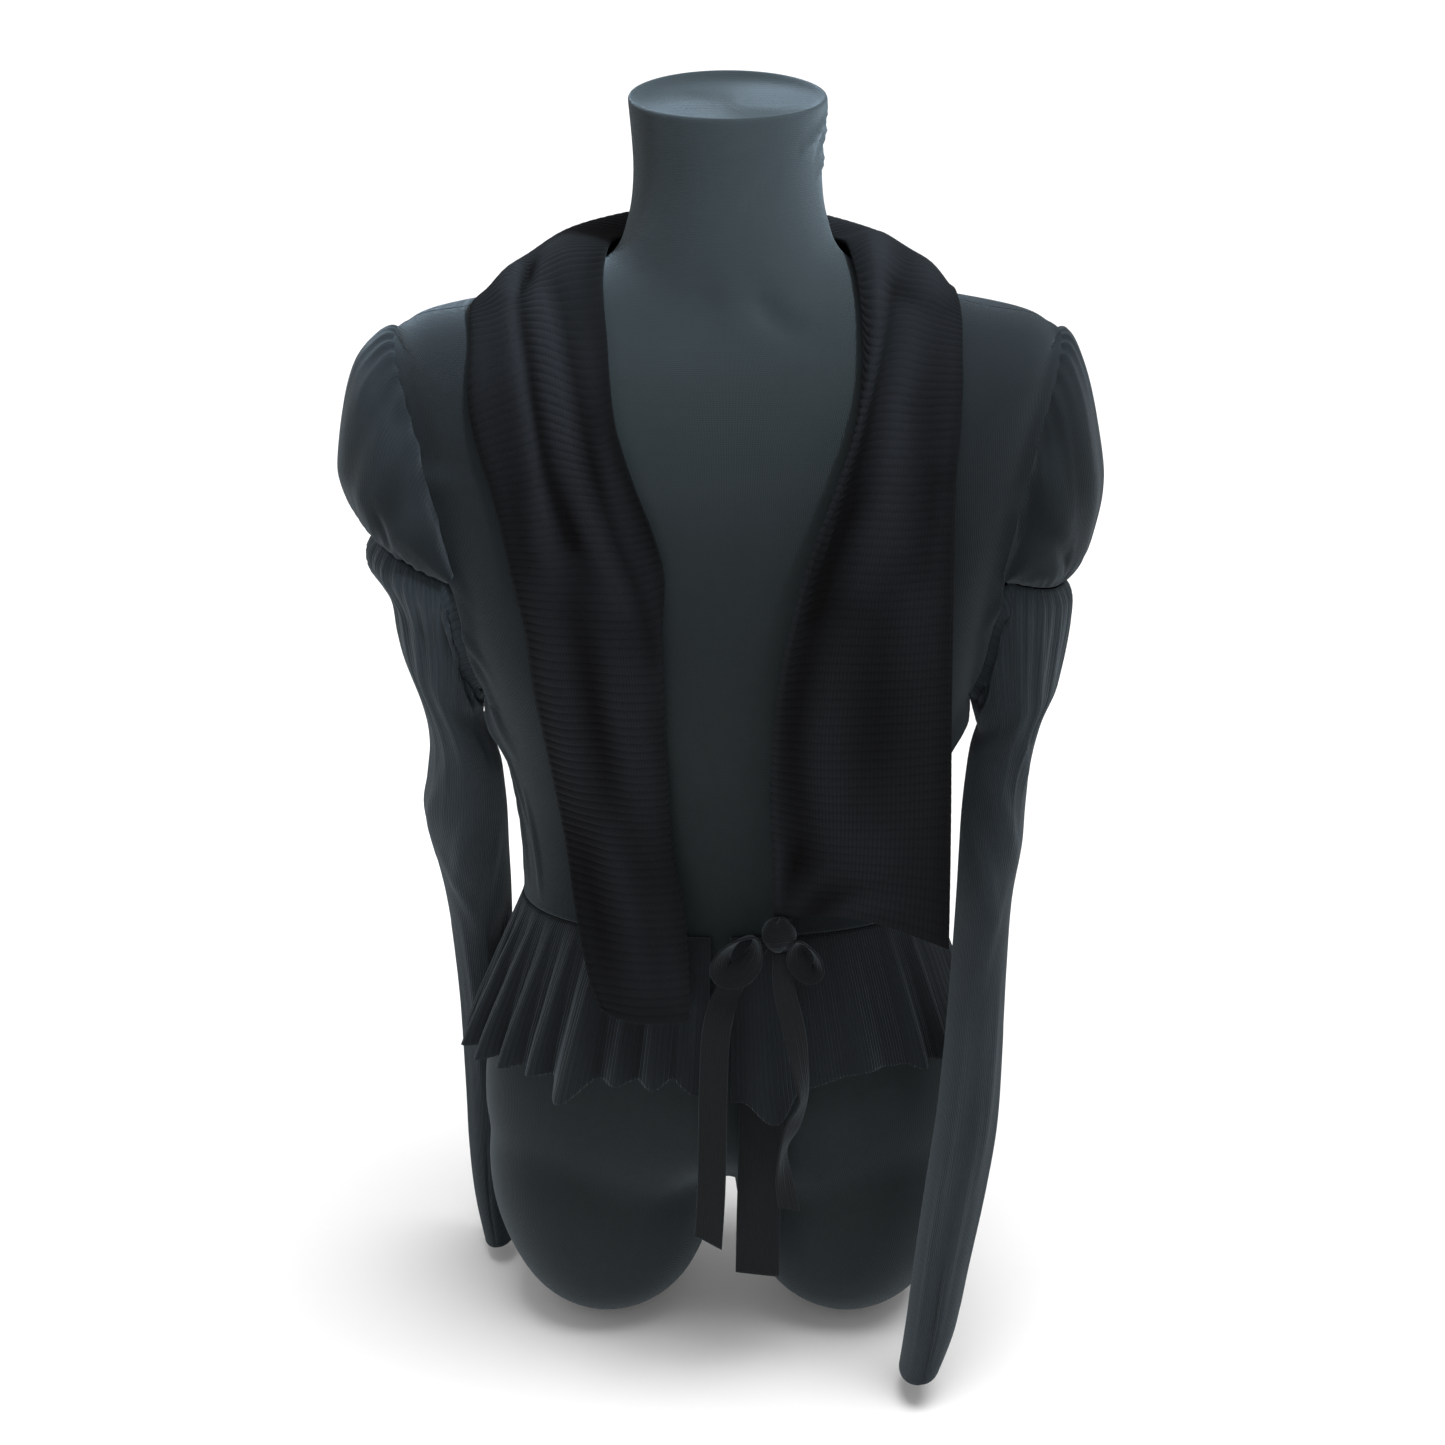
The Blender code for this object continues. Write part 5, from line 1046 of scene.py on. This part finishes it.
# The tie
# A flat ribbed tape sewn to both waist ends of the fronts and tied in a small bow over the open front. Two
# ends hang from the knot, and a wider end hangs from the waist seam behind the right side of the peplum.
TAPE = 0.0016
TAPE_POINTS = 40
TAPE_UNITS = np.array([MM, MM, MM, 1.0, MM])
LOOP_TURN = -46
KNOT_CENTRE = (0.0300, -0.1290, 0.3020)
KNOT_RADII = (0.0105, 0.0085, 0.0110)
KNOT_POINTS = 72
KNOT_ROWS = 48
TAIL_LEFT = {  # x, y, z, turn, width
    "knot": (22.6, -124.8, 294.9, 10, 6),
    "under_loop": (11, -123.8, 279, 10, 11),
    "high": (0, -126, 264, 8, 15),
    "free": (-6.5, -133, 243, 0, 17),
    "middle": (-8.5, -139, 208, -4, 17),
    "hang": (-9, -141, 174, -2, 17),
    "low": (-9.8, -141.5, 140, 2, 17),
    "end": (-11.5, -141, 108, 6, 17),
}
TAIL_RIGHT = {
    "knot": (30.5, -129.5, 290.6, 10, 8),
    "high": (33, -133, 270, 20, 13),
    "slope": (39, -137, 246, 22, 14),
    "twist": (43, -139, 222, 40, 13),
    "bend": (45, -140, 202, 62, 12),
    "turn": (39, -140, 185, 40, 13),
    "narrow": (33, -140, 167, 66, 13),
    "low": (34, -139, 147, 38, 13),
    "end": (37, -138.5, 129, 25, 13),
}
END_INNER = {
    "start": (17, -89.8, 277, 4, 18),
    "behind": (17.5, -96, 250, 2, 23),
    "under": (19.5, -102, 220, 0, 27),
    "hem": (20.5, -109.5, 188, 0, 27),
    "hang": (20, -111, 150, 2, 27),
    "low": (19, -110.5, 105, 4, 27),
    "end": (18.5, -110, 70, 4, 27),
}
# Black ribbed tape, matt, with cords 1.7 mm apart along its length
black_tape = knit_finish("black_ribbed_tape", "#1d1f21", "#101112", 0.0012, 0.0011, 0.00012, 0.9, 0.2,
                         rib=0.0017, rib_depth=0.0002)


def tape_piece(name, path, turns, widths, closed=False, slant=0.0, shade=-0.0002):
    """A flat tape along a path. turns gives the direction across the tape, in degrees from +X about Z, or on
    a closed loop from the loop's axis outwards."""
    turn = np.radians(turns)
    side = np.stack([np.cos(turn), np.sin(turn), np.zeros_like(turn)], axis=1)
    along = np.gradient(path, axis=0)
    if closed:
        along = np.roll(path, -1, axis=0) - np.roll(path, 1, axis=0)
        outwards = path - path.mean(axis=0)
        outwards /= np.linalg.norm(outwards, axis=1, keepdims=True)
        side = outwards * np.sin(turn)[:, None] + np.array([[0.0, 1.0, 0.0]]) * np.cos(turn)[:, None]
    along /= np.linalg.norm(along, axis=1, keepdims=True)
    side -= along * (side * along).sum(axis=1, keepdims=True)
    side /= np.linalg.norm(side, axis=1, keepdims=True)
    face = np.cross(along, side)
    round_angles = whole_turn(TAPE_POINTS)
    width_share = np.sign(np.cos(round_angles)) * np.abs(np.cos(round_angles)) ** 0.45
    depth_share = np.sign(np.sin(round_angles)) * np.abs(np.sin(round_angles)) ** 0.6
    length = lengths_along(path)
    lean = slant * np.exp((length - length[-1]) / 0.004)
    grid = path[:, None, :] + side[:, None, :] * (width_share[None, :, None] * widths[:, None, None] / 2)
    grid = grid + face[:, None, :] * (depth_share[None, :, None] * TAPE / 2)
    grid = grid + along[:, None, :] * (width_share[None, :, None] * lean[:, None, None])
    rows = len(path)
    if closed:
        last = (rows - 1) * TAPE_POINTS
        ring = np.arange(TAPE_POINTS)
        next_one = np.roll(ring, -1)
        faces = quads(rows, TAPE_POINTS, True).tolist()
        faces += np.stack([last + ring, last + next_one, next_one, ring], axis=1).tolist()
    else:
        faces = capped(rows, TAPE_POINTS)
    beside = width_share[None, :] * widths[:, None] / 2
    # shade is painted shade: it is added to how far the tape stands out, which the material paints darker
    places = np.stack(np.broadcast_arrays(beside, length[:, None], shade), axis=-1).reshape(-1, 3)
    return new_piece(name, grid.reshape(-1, 3), faces, black_tape, places)


def bow_loop(name, centre, radii, lean, count, turning, widening, shade):
    """A teardrop loop of tape, narrow towards the knot. turning gives how far the tape turns, in degrees, and
    where it does, widening its mean width, how much that changes and where."""
    a = whole_turn(count)
    x = radii[0] * np.cos(a)
    z = radii[1] * np.sin(a) * (0.62 + 0.38 * np.sin(a / 2))
    lean = math.radians(lean)
    path = np.stack([centre[0] + x * math.cos(lean) - z * math.sin(lean), np.full(count, centre[1]),
                     centre[2] + x * math.sin(lean) + z * math.cos(lean)], axis=1)
    turns = LOOP_TURN + turning[0] * np.cos(a - turning[1])
    widths = widening[0] + widening[1] * np.cos(a - widening[2])
    return tape_piece(name, path, turns, widths, closed=True, shade=shade)


tape_pieces = []
for name, table, slant, flat in (("tie_tail_left", TAIL_LEFT, 0.0050, (0.017, 0.200)),
                                 ("tie_tail_right", TAIL_RIGHT, 0.0040, (0.017, 0.175)),
                                 ("tie_end_inner", END_INNER, 0.0020, (0.027, 0.215))):
    rows = smooth_rows(columns(table) * TAPE_UNITS, np.linspace(0, len(table) - 1, 90))
    piece = tape_piece(name + "_tape", rows[:, :3], rows[:, 3], rows[:, 4], slant=slant)
    tape_pieces.append((piece, name, flat))
# The loops get more painted shade than the tails, so that they are painted darker
piece = bow_loop("tie_loop_left_tape", (0.0072, -0.1345, 0.2912), (0.0140, 0.0088), 52, 72, (30, 0.4),
                 (0.0135, 0.0040, 3.6), -0.0009)
tape_pieces.append((piece, "tie_loop_left", (0.012, 0.085)))
piece = bow_loop("tie_loop_right_tape", (0.0462, -0.1315, 0.2885), (0.0105, 0.0062), 118, 60, (28, 5.2),
                 (0.0110, 0.0032, 2.0), -0.0010)
tape_pieces.append((piece, "tie_loop_right", (0.011, 0.052)))
for piece, name, flat in tape_pieces:
    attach(piece, "root")
    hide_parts(name)
knot_turn, knot_rise = np.meshgrid(whole_turn(KNOT_POINTS),
                                   np.linspace(0.02, math.pi - 0.02, KNOT_ROWS))
knot_fold = 1 - 0.16 * np.abs(np.sin(1.5 * knot_turn + 1.1 * np.cos(knot_rise) + 0.5)) ** 5
knot_grid = np.stack([np.sin(knot_rise) * np.cos(knot_turn), np.sin(knot_rise) * np.sin(knot_turn),
                      np.cos(knot_rise)], axis=-1) * knot_fold[..., None]
knot_grid = knot_grid * np.array(KNOT_RADII) + np.array(KNOT_CENTRE)
# Painted shade: the knot's colour is painted the darkest of the bow
knot_cloth = np.stack([knot_rise * KNOT_RADII[2], knot_turn * 0.010, np.full_like(knot_rise, -0.0012)],
                      axis=-1)
knot = new_piece("tie_knot_wrap", knot_grid.reshape(-1, 3), capped(KNOT_ROWS, KNOT_POINTS), black_tape,
                 knot_cloth.reshape(-1, 3))
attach(knot, "root")
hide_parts("tie_knot")

# Floor, light and camera
# A plain pale floor under a white sky, with an even light from overhead, a high window at the right that
# falls on the neck, and a low reflector in front. Seen from in front, a little above the form.
EYE = (-0.003, -1.63, 0.8925)
AIM = (-0.003, 0.0, 0.3925)
VIEW_ANGLE = 29.5
SKY_LIGHT = 0.46                 # strength of the sky as a light; the camera sees it at full strength
FLOOR_RADIUS = 40
FLOOR_POINTS = 96
LAMPS = (  # name, kind, place, lit point, settings
    ("overhead_diffuser", "SUN", (0.0, 0.0, 0.0), (-0.14, 0.14, -1.0),
     {"energy": 2.6, "angle": math.radians(44)}),
    ("high_window", "SPOT", (0.75, -0.95, 1.65), (0.03, 0.0, 0.87),
     {"energy": 1600.0, "color": (0.80, 0.91, 1.0), "spot_size": math.radians(14), "spot_blend": 1.0,
      "shadow_soft_size": 0.25}),
    ("low_reflector", "AREA", (-0.20, -1.05, 0.05), (0.0, 0.0, 0.10),
     {"energy": 8.0, "size": 0.7, "color": (1.0, 0.97, 0.95)}),
)


def aimed(name, data, place, view):
    """A lamp or the camera at a place, looking along a view."""
    carrier = bpy.data.objects.new(name, data)
    carrier.location = place
    carrier.rotation_euler = view.to_track_quat("-Z", "Y").to_euler()
    bpy.context.scene.collection.objects.link(carrier)
    return carrier


# Matt white floor, a little off pure white
floor_material = bpy.data.materials.new("pale_matt_floor")
floor_material.use_nodes = True
floor_shader = floor_material.node_tree.nodes["Principled BSDF"]
floor_shader.inputs["Base Color"].default_value = linear("#fbfbfb")
floor_shader.inputs["Roughness"].default_value = 0.9
floor_turn = whole_turn(FLOOR_POINTS)
floor_points = np.stack([FLOOR_RADIUS * np.cos(floor_turn), FLOOR_RADIUS * np.sin(floor_turn),
                         np.full(FLOOR_POINTS, -0.0002)], axis=1)
floor = new_piece("studio_floor", floor_points, [list(range(FLOOR_POINTS))], floor_material)
world = bpy.data.worlds.new("white_studio")
bpy.context.scene.world = world
world.use_nodes = True
sky = world.node_tree.nodes["Background"]
sky.inputs["Color"].default_value = linear("#ffffff")
camera_ray = add_node(world, "ShaderNodeLightPath").outputs["Is Camera Ray"]
seen = maths(world, "MULTIPLY_ADD", camera_ray, 1.0 - SKY_LIGHT, SKY_LIGHT)
world.node_tree.links.new(seen, sky.inputs["Strength"])
for name, kind, place, lit, settings in LAMPS:
    light = bpy.data.lights.new(name, kind)
    for key, value in settings.items():
        setattr(light, key, value)
    aimed(name, light, Vector(place), Vector(lit) - Vector(place))
camera = bpy.data.cameras.new("camera")
camera.angle = math.radians(VIEW_ANGLE)
camera_object = aimed("camera", camera, Vector(EYE) + Vector(SHIFT), Vector(AIM) - Vector(EYE))
bpy.context.scene.camera = camera_object
bpy.context.scene.view_settings.view_transform = "Standard"
